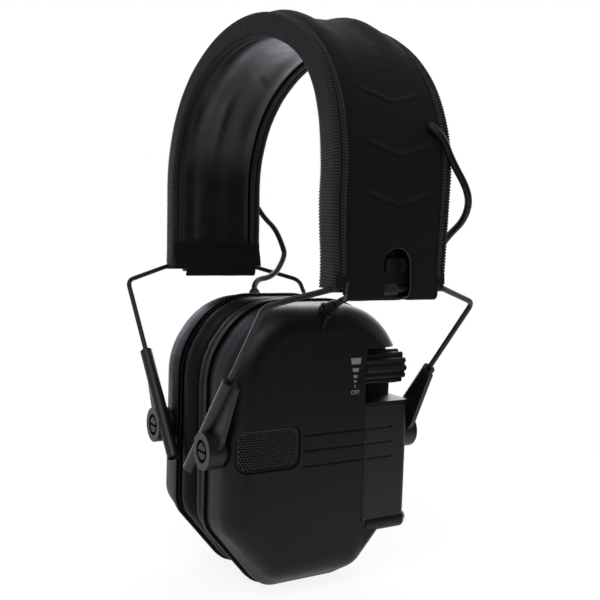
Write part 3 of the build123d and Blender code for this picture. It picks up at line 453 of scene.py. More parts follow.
def mesh_from(name, points, faces, smooth=True, flat=None):
    """A mesh. For woven pieces, flat holds each point's lay in mm, along and across, and either the share of
    painted highlight on the cloth's ridges or the rib height that paints the ribbon's highlights and shade.
    """
    mesh = bpy.data.meshes.new(name)
    mesh.from_pydata([tuple(p) for p in points], [], faces)
    mesh.validate()
    if flat:
        layer = mesh.attributes.new("flat", "FLOAT_VECTOR", "POINT")
        layer.data.foreach_set("vector", np.asarray(flat, np.float32).ravel())
    bm = bmesh.new()
    bm.from_mesh(mesh)
    bmesh.ops.delete(bm, geom=[v for v in bm.verts if not v.link_faces], context="VERTS")
    if not flat:
        bmesh.ops.remove_doubles(bm, verts=bm.verts, dist=1e-7)
    bmesh.ops.recalc_face_normals(bm, faces=bm.faces)
    bm.to_mesh(mesh)
    bm.free()
    mesh.polygons.foreach_set("use_smooth", [smooth] * len(mesh.polygons))
    return mesh


def grid_faces(rows, columns, closed=False, keep=None):
    faces = []
    for i in range(rows - 1):
        for j in range(columns if closed else columns - 1):
            if keep is None or keep(i, j):
                a, b, k = i * columns, (i + 1) * columns, (j + 1) % columns
                faces.append((a + j, a + k, b + k, b + j))
    return faces


def tube_faces(rings, sides):
    """Faces of a tube with both its ends closed."""
    last = (rings - 1) * sides
    return grid_faces(rings, sides, True) + [tuple(range(sides)), tuple(range(last, last + sides))]


def loop_faces(rings, sides):
    """Faces of a tube that runs back into its own start."""
    last = (rings - 1) * sides
    closing = [(last + j, last + (j + 1) % sides, (j + 1) % sides, j) for j in range(sides)]
    return grid_faces(rings, sides, True) + closing


def slab_faces(rows, columns):
    """Faces of a sheet and its underside, whose points follow those of the sheet, and of its rim."""
    count = rows * columns
    sheet = grid_faces(rows, columns)
    last = count - columns
    rim = [(j, j + 1) for j in range(columns - 1)] + [(last + j + 1, last + j) for j in range(columns - 1)]
    for a in range(0, last, columns):
        b = a + columns
        rim += [(b, a), (b - 1, b + columns - 1)]
    under = [tuple(count + k for k in reversed(face)) for face in sheet]
    return sheet + under + [(a, b, count + b, count + a) for a, b in rim]


def circle(centre, one, other, radius, count):
    """Points of a circle in the plane of two directions."""
    angles = (2 * pi * k / count for k in range(count))
    return [centre + (one * cos(a) + other * sin(a)) * radius for a in angles]


def spaced(low, high, count):
    """Values at even steps from low to high."""
    return [low + (high - low) * i / (count - 1) for i in range(count)]


def step(value, low, high):
    """0 below low, 1 above high, and smooth between them."""
    t = min(1.0, max(0.0, (value - low) / (high - low)))
    return t * t * (3 - 2 * t)


def hump(value, middle, width):
    """1 at the middle, and dying away to both sides."""
    return exp(-((value - middle) / width) ** 2)


def tube_mesh(name, points, radius, sides=20, taper=None, closed=False):
    """A round tube along close points. taper gives its size, from 0 to 1 along it; closed joins its ends."""
    points = [Vector(p) for p in points]
    count = len(points)
    tangents = []
    for i in range(count):
        before = points[i - 1] if closed or i else points[0]
        after = points[(i + 1) % count] if closed or i < count - 1 else points[-1]
        tangents.append((after - before).normalized())
    side = tangents[0].orthogonal().normalized()
    verts = []
    for i, tangent in enumerate(tangents):
        if i:
            side = tangents[i - 1].rotation_difference(tangent) @ side
            side = (side - tangent * side.dot(tangent)).normalized()
        size = radius if taper is None else radius * taper(i / (count - 1))
        verts += circle(points[i], side, tangent.cross(side), size, sides)
    return mesh_from(name, verts, (loop_faces if closed else tube_faces)(count, sides))


def thicken(piece, thickness, facing):
    """Thickens a sheet away from its shown side. facing is above 0 where its normals point to that side."""
    thick = piece.modifiers.new("thick", "SOLIDIFY")
    thick.thickness = thickness * MM
    thick.offset = -1 if facing > 0 else 1


def smoothen(piece):
    smooth = piece.modifiers.new("smooth", "SUBSURF")
    smooth.levels = smooth.render_levels = 1


# ---------------------------------------------------------------- leads

LEAD_DIAMETER = 2.6
# the control side's routes, mirrored for the plain side
LEAD_ROUTES = {
    "lead_upper": [(71.98, 14.42, -37.30), (75.93, 15.82, -40.03), (75.6, 20.2, -47.5), (79.4, 26.0, -59.0),
                   (77.2, 27.44, -62.82)],
    "lead_middle": [(77.2, 27.44, -62.82), (74.5, 29.2, -67.5), (62.0, 31.0, -74.5), (54.4, 30.2, -83.7)],
    "lead_lower": [(54.4, 30.2, -83.7), (52.5, 30.0, -86.0), (43.5, 19.0, -95.5), (38.91, 5.98, -96.63),
                   (32.90, 3.18, -101.11)],
}


def spline_points(route):
    """Points of the smooth line that a quadratic NURBS draws round the route's corners."""
    curve = bpy.data.curves.new("route", "CURVE")
    curve.dimensions = "3D"
    spline = curve.splines.new("NURBS")
    spline.points.add(len(route) - 1)
    for point, corner in zip(spline.points, route):
        point.co = (*spot(*corner), 1.0)
    spline.order_u = 3
    spline.use_endpoint_u = True
    spline.resolution_u = 16
    mesh = mesh_of_curve("route", curve)
    points = [v.co.copy() for v in mesh.vertices]
    bpy.data.meshes.remove(mesh)
    return points


def mesh_of_curve(name, curve):
    holder = place(name, curve)
    bpy.context.view_layer.update()
    mesh = bpy.data.meshes.new_from_object(holder)
    bpy.data.objects.remove(holder)
    bpy.data.curves.remove(curve)
    return mesh


def lead_points(part, sign):
    return spline_points([(sign * x, y, z) for x, y, z in LEAD_ROUTES[part]])


def lead_length(points):
    return sum((b - a).length for a, b in zip(points, points[1:]))


def make_leads(side, sign):
    bodies = ("headband", f"{side}_bail_body", f"{side}_sliders", f"{side}_cup")
    for part, first, second in zip(LEAD_ROUTES, bodies, bodies[1:]):
        points = lead_points(part, sign)
        mesh = tube_mesh(f"{side}_{part}_jacket", points, LEAD_DIAMETER / 2 * MM)
        piece = new_piece(mesh, "lead", None)
        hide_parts(f"{side}_{part}")
        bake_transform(piece)


for side_name, side_sign in SIDES.items():
    make_leads(side_name, side_sign)


# ---------------------------------------------------------------- headband: the line it follows

# the band's outer face: an arc over the crown, one over each shoulder, and straight arms; centres are (x, z)
CROWN, CROWN_RADIUS, CROWN_ANGLE = (0.0, -78.0), 86.0, radians(35.0)
SHOULDER, SHOULDER_RADIUS, ARM_ANGLE = (16.634, -54.245), 57.0, radians(92.0)
CROWN_RUN = CROWN_RADIUS * CROWN_ANGLE
ARM_RUN = CROWN_RUN + SHOULDER_RADIUS * (ARM_ANGLE - CROWN_ANGLE)
ARM_START_Z = SHOULDER[1] + SHOULDER_RADIUS * cos(ARM_ANGLE)
BAND_HALF = 22.75
BAND_THICK = 8.0
# the ribbons: their laps over the inner and the outer face, their edge from the inner end of a lap, and how
# far along the band they run from the crown
LAP, OUTER_LAP = 5.6, 4.0
OUTER_SHARE = OUTER_LAP / LAP
RIBBON_EDGE = 5.62
BINDING_END = 145.64
RIB_PITCH, POINTS_PER_RIB = 1.05, 6
SEAM_FROM_EDGE, SEAM_ON_LAP = 2.77, 2.85
STITCH_PITCH = 2.7
LINER_END_Z = -84.0
# heights of the pressed chevrons
CHEVRONS = (-24.0, -42.0, -58.5)
# the sleeve round the wire, where its front corner stands forwards, and the window in its outer face
SLEEVE_Y, SLEEVE_HALF, SLEEVE_FORE = 1.7, 17.4, 3.8
SLEEVE_TOP_Z = -90.9
WIRE_X, WIRE_Z = 70.13, -92.5
OUTER_FACE_X = 67.6
WINDOW_HALF, ARCH_Z = 6.0, -84.0
# the turn-up of the cover: rows of cloth above it, its foot, the radius of its corners, and the flap's end
ARM_ROWS = 179
HEM_BOTTOM_Z, HEM_INNER_X = -96.45, 62.3
ROLL = 2.2
ROLL_Z = HEM_BOTTOM_Z + ROLL + 0.05
FLAP_TOP = -79.6


def band_frame(s):
    """Place and outward direction of the band's outer face at a distance s from the crown, in mm."""
    side = 1 if s >= 0 else -1
    s = abs(s)
    rest = max(0.0, s - ARM_RUN)
    if s <= CROWN_RUN:
        centre, radius, angle = CROWN, CROWN_RADIUS, s / CROWN_RADIUS
    else:
        centre, radius = SHOULDER, SHOULDER_RADIUS
        angle = CROWN_ANGLE + (s - rest - CROWN_RUN) / SHOULDER_RADIUS
    x = centre[0] + radius * sin(angle) + rest * cos(angle)
    z = centre[1] + radius * cos(angle) - rest * sin(angle)
    return (side * x, z), (side * sin(angle), cos(angle))


def band_point(s, v, inset):
    (x, z), (nx, nz) = band_frame(s)
    return spot(x - nx * inset, v, z - nz * inset)


def hinge_swell(z):
    """How far the cover stands off the even band over the hinge of the wire."""
    return 0.8 * step(-z, 84, 91)


def arm_x(z):
    """X of the control arm's cover at a height."""
    return band_frame(ARM_RUN + ARM_START_Z - z)[0][0] + hinge_swell(z)


def front_spread(s, v):
    """How far the stretched front edge of the control arm stands forwards and inwards of the even band."""
    if v > 0 or s < 30:
        return 0.0, 0.0
    grown = step(s, 35, 105)
    share = (v / BAND_HALF) ** 2
    wide = 3.3 * (grown - 0.6 * step(s, 114, 142))
    return wide * share, 2.2 * grown * share


def puff(s, v):
    """Stuffing under the cover over the crown: two soft humps with a trough between them."""
    humps = 2.9 * hump(v, -14.0, 6.5) + 3.7 * hump(v, 12.5, 7.0) + 1.2 * hump(v, 0.0, 6.0)
    return hump(s, 22, 27) * humps * (1 - 0.75 * step(abs(v), 18.5, 22.3))


def ribbon_lift(s, end):
    """How far the stuffing lifts the ribbon at one edge."""
    return 0.25 * puff(s, end * 17.0)


def ripple(s, v, scale, seed):
    return noise.noise(Vector((s * scale, v * scale, seed)))


def make_binding(name, end):
    """Ribbed ribbon folded round one edge of the band, its ribs running across it."""
    count = int(2 * BINDING_END / RIB_PITCH) * POINTS_PER_RIB
    inner = BAND_HALF - LAP
    # the ribbon's section, as (distance across, inset): outer lap, edge, inner lap, and its hidden side
    face = [(0.15, 0.55), (0.0, 0.3), (0.12, 0.05), (0.8, -0.12), (1.7, -0.12), (2.4, -0.05), (2.85, 0.32),
            (3.3, -0.05), (4.2, -0.1), (4.9, 0.05), (5.35, 0.4), (5.55, 1.0)]
    ring = [(inner + RIBBON_EDGE - (RIBBON_EDGE - v) * OUTER_SHARE, inset) for v, inset in face]
    ring += [(inner + RIBBON_EDGE, inset) for inset in (2.0, 3.3, 4.7, 6.0)]
    ring += [(inner + v, BAND_THICK - inset) for v, inset in reversed(face)]
    ribbed_count = len(ring)
    ring += [(inner + v, inset) for v, inset in ((3.0, 7.2), (4.9, 7.0), (5.1, 4.0), (4.9, 1.0), (3.0, 0.8))]
    verts, flat = [], []
    for s in spaced(-BINDING_END, BINDING_END, count + 1):
        wobble = 0.10 * ripple(s, 0, 0.09, 3.1 + end)
        for j, (v, inset) in enumerate(ring):
            out, y, rib = inset, v, 0.0
            if j < ribbed_count:
                seam = inner + (RIBBON_EDGE - SEAM_FROM_EDGE * OUTER_SHARE if inset < 4 else SEAM_ON_LAP)
                # the two rows of ribs, either side of the stitching, are half a rib apart
                phase = s / RIB_PITCH + (0.5 if v < seam else 0.0) + 0.25 * ripple(s, v * 0.2, 0.12, end)
                rib = abs(sin(pi * phase)) ** 1.4 * (1 - hump(v, seam, 0.4))
                lift = 0.3 * rib - 0.2
                if inset < 1.2:
                    out = inset - lift
                elif inset > 6.8:
                    out = inset + lift
                if v > inner + 4.8:
                    y = v + lift
            wide, deep = front_spread(s, end * v)
            through = inset / BAND_THICK
            out += deep * through - ribbon_lift(s, end) * (1 - through)
            verts.append(band_point(s, end * (y + wobble + wide), out))
            # the rib's height also paints the ribbon's highlights and shade
            flat.append((s, v + inset, rib))
    return mesh_from(name, verts, tube_faces(count + 1, len(ring)), flat=flat)


def stitch_mesh(name, ways, length=1.9, thick=0.34):
    """Separate stitches, each a short thread that dips into the cloth at both ends."""
    verts, faces = [], []
    sides = 6
    # place along the stitch, depth and size, as shares of its length and thickness
    shape = [(-0.5, 0.35, 0.45), (-0.42, 0.1, 0.85), (-0.2, 0.0, 1.0), (0.2, 0.0, 1.0), (0.42, 0.1, 0.85),
             (0.5, 0.35, 0.45)]
    for start, along, out in ways:
        side = along.cross(out).normalized()
        faces += [tuple(len(verts) + k for k in face) for face in tube_faces(len(shape), sides)]
        for t, sink, size in shape:
            centre = start + along * (t * length * MM) - out * (sink * thick * MM)
            verts += circle(centre, side, out, thick / 2 * size * MM, sides)
    return mesh_from(name, verts, faces)


def band_stitches():
    """A row of stitches on each face of both ribbons."""
    ways = []
    reach = BINDING_END - 2
    for s in spaced(-reach, reach, int(2 * reach / STITCH_PITCH) + 1):
        nx, nz = band_frame(s)[1]
        out = Vector((nx, 0, nz))
        along = Vector((nz, 0, -nx))
        for end in (-1, 1):
            v = end * (BAND_HALF - SEAM_FROM_EDGE * OUTER_SHARE)
            wide = front_spread(s, v)[0]
            ways.append((band_point(s, v + end * wide, 0.16 - ribbon_lift(s, end)), along, out))
            v = end * (BAND_HALF - LAP + 2.95)
            wide, deep = front_spread(s, v)
            ways.append((band_point(s, v + end * wide, 7.84 + deep), along, -out))
    return ways


# ---------------------------------------------------------------- headband: the cloth cover

def cover_path():
    """The cover's line on one side: down the arm, round the wire, and up inside to the end of the flap."""
    line = []
    for s in spaced(0.0, ARM_RUN + ARM_START_Z - ROLL_Z, ARM_ROWS):
        (x, z), (nx, nz) = band_frame(s)
        line.append(((x - 0.4 * nx + hinge_swell(z), z - 0.4 * nz), (nx, nz)))
    outer = line[-1][0][0]
    quarter = spaced(0.0, pi / 2, 8)
    for a in quarter[1:]:
        line.append(((outer - ROLL * (1 - cos(a)), ROLL_Z - ROLL * sin(a)), (cos(a), -sin(a))))
    far = HEM_INNER_X + ROLL
    line += [((x, HEM_BOTTOM_Z + 0.05), (0, -1)) for x in spaced(outer - ROLL, far, 8)[1:-1]]
    for a in quarter:
        line.append(((far - ROLL * sin(a), ROLL_Z - ROLL * cos(a)), (-sin(a), -cos(a))))
    for t in spaced(0.0, 1.0, 16)[1:]:
        x = HEM_INNER_X + 2.3 * step(t, 0.1, 1.0)
        line.append(((x, ROLL_Z + (FLAP_TOP - ROLL_Z) * t), (-0.98, -0.18 if t > 0.1 else 0)))
    turn_in = ((64.75, 0.45), (65.1, 0.7), (65.5, 0.6), (65.9, 0.15))
    return line + [((x, FLAP_TOP + rise), (-0.5, 0.85)) for x, rise in turn_in]


def below_chevrons(z, y):
    """How far a place on the arm lies below the line of each pressed chevron."""
    return [level - 4.2 * (1 - abs(y) / 13.5) - z for level in CHEVRONS]


def chevron_ridge(z, y):
    """Height of the three thin pressed chevrons at a height and a place across the band."""
    height = sum(0.5 * hump(t, 1.0, 0.6) - 0.35 * hump(t, 2.3, 0.8) for t in below_chevrons(z, y))
    return height * (1 - step(abs(y), 10.0, 14.5))


def ridge_highlight_mask(z, y):
    """Where the tops of the pressed chevrons get a painted highlight, from 0 to 1."""
    return sum(hump(t, 0.8, 0.55) for t in below_chevrons(z, y)) * (1 - step(abs(y), 10.0, 14.0))


def in_window(y, z):
    past = y - SLEEVE_Y
    return abs(past) <= WINDOW_HALF and (z <= ARCH_Z or hypot(past, z - ARCH_Z) < WINDOW_HALF)


def make_cover():
    """The cloth over the band, with its pressed chevrons, and its turn-up round each wire."""
    half = cover_path()
    crown_row = len(half) - 1
    line = [((-x, z), (-nx, nz)) for (x, z), (nx, nz) in reversed(half[1:])] + half
    runs = [0.0]
    for (a, _), (b, _) in zip(line, line[1:]):
        runs.append(runs[-1] + hypot(b[0] - a[0], b[1] - a[1]))
    columns = 61
    edge = BAND_HALF - 0.45
    across = spaced(-edge, edge, columns)
    verts, flat, info = [], [], []
    for i, ((x, z), (nx, nz)) in enumerate(line):
        from_crown = abs(i - crown_row)
        outside = from_crown < ARM_ROWS
        s = runs[i] - runs[crown_row]
        up = max(0.0, (from_crown - ARM_ROWS - 20) / (len(half) - ARM_ROWS - 20))
        for v in across:
            drop = wide = 0.0
            if outside:
                lift = 0.35 * (1 - (v / edge) ** 2) + chevron_ridge(z, v)
                lift -= 0.22 * hump(abs(v), BAND_HALF - OUTER_LAP - 0.6, 0.8)
                lift += 0.22 * ripple(s, v * 0.45, 0.07, 1.7) + 0.08 * ripple(s, v, 0.28, 5.0)
                lift += puff(s, v)
                wide = front_spread(s, v)[0]
            else:
                lift = 0.12 * ripple(s, v, 0.12, 8.0)
                drop = 2.2 * (v / edge) ** 2 * up
            verts.append(spot(x + nx * lift, v - wide, z - drop + nz * lift))
            flat.append((s, v, ridge_highlight_mask(z, v) if outside else 0.0))
            info.append((abs(x), z, v, outside))

    def keep(i, j):
        x, z, v, outside = info[i * columns + j]
        x2, z2, v2, outside2 = info[(i + 1) * columns + j + 1]
        mid_v, mid_z, mid_x = (v + v2) / 2, (z + z2) / 2, (x + x2) / 2
        # each sleeve end is cut slantwise, so that its open end is hidden
        outward = step(mid_x, 62, 70)
        if i < crown_row:
            front = SLEEVE_Y - SLEEVE_HALF - 0.9 + 6.0 * outward
        else:
            front = SLEEVE_Y - SLEEVE_HALF + 2.4 - (2.4 + SLEEVE_FORE) * outward
        if mid_z < SLEEVE_TOP_Z and not front < mid_v < SLEEVE_Y + SLEEVE_HALF:
            return False
        facing = mid_x > OUTER_FACE_X and (outside or outside2 or mid_z < -92.0)
        return not (facing and in_window(mid_v, mid_z))

    faces = grid_faces(len(line), columns, False, keep)
    # points beside the window move onto its edge, so that it is a clean curve
    used = np.bincount(np.array(faces).ravel(), minlength=len(verts))
    beside = WINDOW_HALF + 1.0
    for point, (x, z, v, _), corners in zip(verts, info, used):
        if corners in (0, 4) or x < OUTER_FACE_X or abs(v - SLEEVE_Y) > beside or z > ARCH_Z + beside:
            continue
        if z > ARCH_Z:
            y_now, z_now = point.y / MM - SLEEVE_Y, point.z / MM - ARCH_Z
            size = hypot(y_now, z_now)
            if size > 1.0:
                point.y = (SLEEVE_Y + y_now / size * WINDOW_HALF) * MM
                point.z = (ARCH_Z + z_now / size * WINDOW_HALF) * MM
        else:
            point.y = (SLEEVE_Y + (WINDOW_HALF if v > SLEEVE_Y else -WINDOW_HALF)) * MM
    mesh = mesh_from("cover_cloth", verts, faces, flat=flat)
    piece = new_piece(mesh, "cloth", "headband")
    thicken(piece, 0.9, max(mesh.polygons, key=lambda p: p.center.z).normal.z)
    soft = piece.modifiers.new("soft", "BEVEL")
    soft.width, soft.segments = 0.25 * MM, 2
    soft.limit_method, soft.angle_limit = "ANGLE", radians(50)
    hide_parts("band_cover", "control_hem", "plain_hem")


def make_liner():
    """The smooth inner lining, dished between the bindings, with the creases that bending leaves."""
    reach = ARM_RUN + ARM_START_Z - LINER_END_Z
    rows, columns = 300, 61
    edge = BAND_HALF - LAP + 1.2
    verts, flat = [], []
    for s in spaced(-reach, reach, rows):
        for v in spaced(-edge, edge, columns):
            # padded rolls beside the bindings, a shallow trough between them
            inset = 6.6 + 0.9 * hump(abs(v), 13.4, 4.2) - 0.55 * step(abs(v), 16.4, 18.2)
            inset += 0.06 * ripple(s, v * 0.4, 0.045, 2.2) + front_spread(s, v)[1]
            # one long soft crease down the plain arm, and a pinched fold near the crown
            inset -= 0.55 * hump(v, -2.5, 2.4) * step(s, -104, -88) * (1 - step(s, -66, -44))
            inset -= 0.5 * hump(s + 0.7 * v, -38, 1.7) * hump(v, 5.5, 3.6)
            inset += 0.3 * hump(s + 0.7 * v, -43, 3.4) * hump(v, 5.5, 5.0)
            verts.append(band_point(s, v, inset))
            flat.append((s, v, 0))
    mesh = mesh_from("liner_leather", verts, grid_faces(rows, columns), flat=flat)
    piece = new_piece(mesh, "liner", "headband")
    below_crown = min(mesh.polygons, key=lambda p: (p.center - Vector((0, 0, -0.007))).length)
    thicken(piece, 0.8, -below_crown.normal.z)
    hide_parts("band_liner", "band_pad")


def make_window_edge(side, sign):
    """The thin welt of the opening in the sleeve, over the arch, down its back side and round at the foot,
    painted pale as a painted highlight along that edge.
    """
    half = WINDOW_HALF - 0.2
    low = HEM_BOTTOM_Z + 0.5
    outline = [(half * cos(a), ARCH_Z + half * sin(a)) for a in spaced(0.75 * pi, 0.0, 13)]
    outline += [(half, -88.0), (half, -91.0), (half, low + 2.6), (half - 0.5, low + 1.1),
                (half - 1.6, low + 0.2), (half - 3.2, low), (half - 5.2, low)]
    points = []
    for y, z in outline:
        x = arm_x(z) - 0.9 - 1.6 * step(-z, -ROLL_Z, -low) ** 2
        points.append(spot(sign * x, SLEEVE_Y + y, z))
    mesh = tube_mesh(f"{side}_window_edge", points, 0.36 * MM, 10)
    new_piece(mesh, "edge", "headband")


def make_sleeve_fold():
    """The fold at the front corner of the control sleeve, where the cloth turns in round the wire, painted
    pale as a painted highlight along it.
    """
    front = SLEEVE_Y - SLEEVE_HALF - SLEEVE_FORE
    route = ((0.9, -89.6, 0.4), (0.1, -90.8, 0.25), (-0.1, -92.6, 0.2), (0.0, -94.4, 0.35), (0.3, -95.8, 1.3),
             (0.7, -96.3, 2.8), (1.0, -96.4, 4.2))
    points = [spot(arm_x(z) - inset, front + y, z) for y, z, inset in route]
    mesh = tube_mesh("control_sleeve_fold", points, 0.5 * MM, 12, taper=lambda t: 0.4 + 0.6 * sin(pi * t))
    new_piece(mesh, "edge", "headband")


def make_tongue(side, sign):
    """The hinge plate's tongue, curled round the wire where the opening shows it."""
    rows, columns = 25, 9
    verts = []
    for radius in (1.25, 1.7):
        for angle in spaced(radians(150), radians(-140), rows):
            x, z = WIRE_X + radius * cos(angle), WIRE_Z + radius * sin(angle) * 1.25
            verts += [spot(sign * x, y, z) for y in spaced(-4.0, 2.8, columns)]
    mesh = mesh_from(f"{side}_hinge_tongue", verts, slab_faces(rows, columns))
    new_piece(mesh, "tongue", "headband")


def make_flap_stitches(side, sign):
    along, out = Vector((0, 1, 0)), Vector((-sign, 0, 0))
    ways = []
    for y in spaced(-15.6, 15.6, 13):
        ways.append((spot(sign * 63.9, y, FLAP_TOP - 2.4 - 2.0 * (y / 22.3) ** 2), along, out))
    new_piece(stitch_mesh(f"{side}_flap_stitches", ways), "thread", "headband")


def make_headband():
    make_cover()
    make_liner()
    for name, end in (("front", -1), ("back", 1)):
        mesh = make_binding(f"binding_ribbon_{name}", end)
        piece = new_piece(mesh, "ribbon", "headband")
        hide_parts(f"binding_{name}")
    new_piece(stitch_mesh("binding_stitches", band_stitches()), "thread", "headband")
    for side, sign in SIDES.items():
        make_flap_stitches(side, sign)
        make_window_edge(side, sign)
        make_tongue(side, sign)
    make_sleeve_fold()


make_headband()


# ---------------------------------------------------------------- cups

CUSHION_FOOT_X = 12.0
CUP_Z = -156
EAR_Z = -154
# the window of the grille, in the cup's face: its middle, size, corner radius and depth
GRILLE_Y, GRILLE_Z = -23.8, -155.0
GRILLE_WIDTH, GRILLE_HEIGHT, GRILLE_CORNER = 26.2, 16.2, 3.9
GRILLE_SINK = 0.8
# the sheet in it: pitch and radius of its holes, and how deep they are
MESH_PITCH, MESH_HOLE, MESH_DEPTH = 1.1, 0.44, 0.35
BORDER_POINTS = 140


def rounded_loop(corners, radii, step_mm=1.5):
    """A closed polygon with rounded corners as close points."""
    points = []
    count = len(corners)
    for i in range(count):
        a, b, c = (Vector(corners[(i + k) % count]) for k in (-1, 0, 1))
        into, out = (b - a).normalized(), (c - b).normalized()
        turn = into.angle(out)
        cut = min(radii[i] * tan(turn / 2), 0.499 * (b - a).length, 0.499 * (c - b).length)
        radius = cut / tan(turn / 2)
        centre = b + (out - into).normalized() * (radius / cos(turn / 2))
        first = b - into * cut - centre
        steps = max(2, ceil(radius * turn / step_mm))
        sign = 1 if into.x * out.y - into.y * out.x > 0 else -1
        for angle in spaced(0.0, sign * turn, steps + 1):
            points.append(Vector((centre.x + first.x * cos(angle) - first.y * sin(angle),
                                  centre.y + first.x * sin(angle) + first.y * cos(angle))))
    dense = []
    for a, b in zip(points, points[1:] + points[:1]):
        parts = max(1, ceil((b - a).length / step_mm))
        dense += [a + (b - a) * (k / parts) for k in range(parts)]
    return dense


def even_loop(points, count):
    """The same loop at an even number of points, starting where its line crosses +y from the middle."""
    middle = sum(points, Vector((0, 0))) / len(points)
    start = min(range(len(points)), key=lambda i: abs(atan2(points[i].y - middle.y, points[i].x - middle.x)))
    points = points[start:] + points[:start]
    lengths = [0.0]
    for a, b in zip(points, points[1:] + points[:1]):
        lengths.append(lengths[-1] + (b - a).length)
    result = []
    i = 0
    for k in range(count):
        want = lengths[-1] * k / count
        while lengths[i + 1] < want:
            i += 1
        t = (want - lengths[i]) / max(1e-9, lengths[i + 1] - lengths[i])
        a, b = points[i], points[(i + 1) % len(points)]
        result.append(a + (b - a) * t)
    return result


def cushion_line(share, count):
    """Points (y, z) round the cushion, at a share of the way from the cup's outline to the ear opening."""
    corners = [(-40.5, -186), (-18.5, -213), (18.5, -213), (40.5, -186),
               (40.5, -123.5), (25, -101.5), (-25, -101.5), (-40.5, -123.5)]
    outer = even_loop(rounded_loop(corners, [12.0] * 4 + [30.0] * 4), count)
    corners = [(y, EAR_Z + z) for y, z in ((-20, -31), (20, -31), (20, 31), (-20, 31))]
    inner = even_loop(rounded_loop(corners, [18.0] * 4), count)
    return [a + (b - a) * share for a, b in zip(outer, inner)]


def simulate(piece, pinned, cap):
    """Swells a closed skin a little under cloth pressure, then keeps the result."""
    before = np.array([v.co for v in piece.data.vertices])
    group = piece.vertex_groups.new(name="pin")
    group.add(pinned, 1.0, "REPLACE")
    cloth = piece.modifiers.new("cloth", "CLOTH")
    settings = cloth.settings
    settings.vertex_group_mass = "pin"
    settings.use_pressure = True
    settings.uniform_pressure_force = 4.0
    settings.effector_weights.gravity = 0.0
    settings.tension_stiffness = settings.compression_stiffness = 18
    settings.bending_stiffness = 1.5
    cloth.collision_settings.use_collision = False
    for number in range(1, 21):
        scene.frame_set(number)
    done = piece.evaluated_get(bpy.context.evaluated_depsgraph_get())
    after = np.array([v.co for v in done.data.vertices])
    piece.modifiers.remove(cloth)
    move = after - before
    size = np.linalg.norm(move, axis=1)
    move *= (np.minimum(size, cap) / np.maximum(size, 1e-9))[:, None]
    piece.data.vertices.foreach_set("co", (before + move).ravel())
    piece.data.update()
    scene.frame_set(1)


def swell(piece):
    """Remeshes the skin evenly and blows it up, but for its foot."""
    remesh = piece.modifiers.new("remesh", "REMESH")
    remesh.mode = "VOXEL"
    remesh.voxel_size = 2.4 * MM
    evaluated = piece.evaluated_get(bpy.context.evaluated_depsgraph_get())
    fresh = bpy.data.meshes.new_from_object(evaluated)
    piece.modifiers.clear()
    piece.data = fresh
    if not fresh.materials:
        fresh.materials.append(MATERIALS["cushion"])
    simulate(piece, [v.index for v in fresh.vertices if abs(v.co.x) > 10.2 * MM], 0.9 * MM)


def make_cushion(side, sign):
    # share of the way from the outer to the inner edge, and height above the back plate
    profile = [(0.035, 0.0), (0.02, 1.2), (-0.005, 3.0), (-0.012, 5.0), (0.0, 7.0), (0.045, 8.8),
               (0.13, 10.2), (0.25, 10.95), (0.38, 11.15), (0.52, 11.2), (0.66, 11.1), (0.78, 10.8),
               (0.88, 10.1), (0.955, 8.8), (1.0, 7.0), (1.015, 5.0), (1.01, 3.0), (1.0, 1.2), (0.985, 0.0)]
    count = 132
    verts = []
    for share, height in profile:
        verts += [spot(sign * (CUSHION_FOOT_X - height), p.x, p.y) for p in cushion_line(share, count)]
    mesh = mesh_from(f"{side}_cushion_skin", verts, loop_faces(len(profile), count))
    piece = new_piece(mesh, "cushion", None)
    swell(piece)
    # puckers gathered by the seam at the foot, and folds in the skin
    co = np.array([v.co for v in piece.data.vertices])
    middle = np.array((0.0, 0.0, CUP_Z * MM))
    for p in co:
        x, y, z = p / MM
        foot = hump(CUSHION_FOOT_X - abs(x), 2.6, 2.4)
        fold = sin(atan2(z - CUP_Z, y) * 46 + 2.3 * ripple(y, z, 0.08, sign))
        deep = 0.16 * foot * fold + 0.30 * ripple(y, z, 0.07, 4.0 + sign)
        away = (p - middle) * np.array((0, 1, 1))
        p += away / max(1e-9, np.linalg.norm(away)) * deep * MM * 0.6
        p[0] = sign * min(11.95 * MM, max(0.75 * MM, sign * p[0]))
    piece.data.vertices.foreach_set("co", co.ravel())
    piece.data.polygons.foreach_set("use_smooth", [True] * len(piece.data.polygons))
    smoothen(piece)
    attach(piece, f"{side}_cup")
    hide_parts(f"{side}_cushion")
    # welted seam round the foot, where the side panel meets the plate
    path = [spot(sign * 11.2, p.x, p.y) for p in cushion_line(0.012, 200)]
    mesh = tube_mesh(f"{side}_cushion_seam_foot", path, 0.4 * MM, 8, closed=True)
    new_piece(mesh, "cushion", f"{side}_cup")


def make_foam(side, sign):
    """The foam sheet behind the ear opening, with shallow dimples."""
    columns, rows = 49, 73
    half_width, half_height = 22.5, 34
    verts = []
    for z in spaced(EAR_Z - half_height, EAR_Z + half_height, rows):
        for y in spaced(-half_width, half_width, columns):
            dimple = 0.55 * sin(y * 1.05) * sin(z * 1.05) + 0.25 * ripple(y, z, 0.4, sign)
            verts.append(spot(sign * (14.55 - 0.35 * dimple), y, z))
    mesh = mesh_from(f"{side}_foam_sheet", verts, grid_faces(rows, columns))
    piece = new_piece(mesh, "foam", f"{side}_cup")
    thicken(piece, 2.4, -sign * mesh.polygons[0].normal.x)
    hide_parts(f"{side}_foam")


def dome_x(y, sink):
    """X of the cup's outer face, or of a surface sunk below it, at a place across the cup, in mm."""
    past = max(0.0, abs(y) - 30.64)
    radius = 9.5 - sink
    return 23.5 + sqrt(radius * radius - past * past)


def in_grille(y, z, margin):
    """Whether a place is inside the grille's rounded window by at least a margin."""
    past_y = abs(y) - GRILLE_WIDTH / 2 + GRILLE_CORNER
    past_z = abs(z) - GRILLE_HEIGHT / 2 + GRILLE_CORNER
    if past_y > 0 and past_z > 0:
        return hypot(past_y, past_z) < GRILLE_CORNER - margin
    return max(past_y, past_z) < GRILLE_CORNER - margin


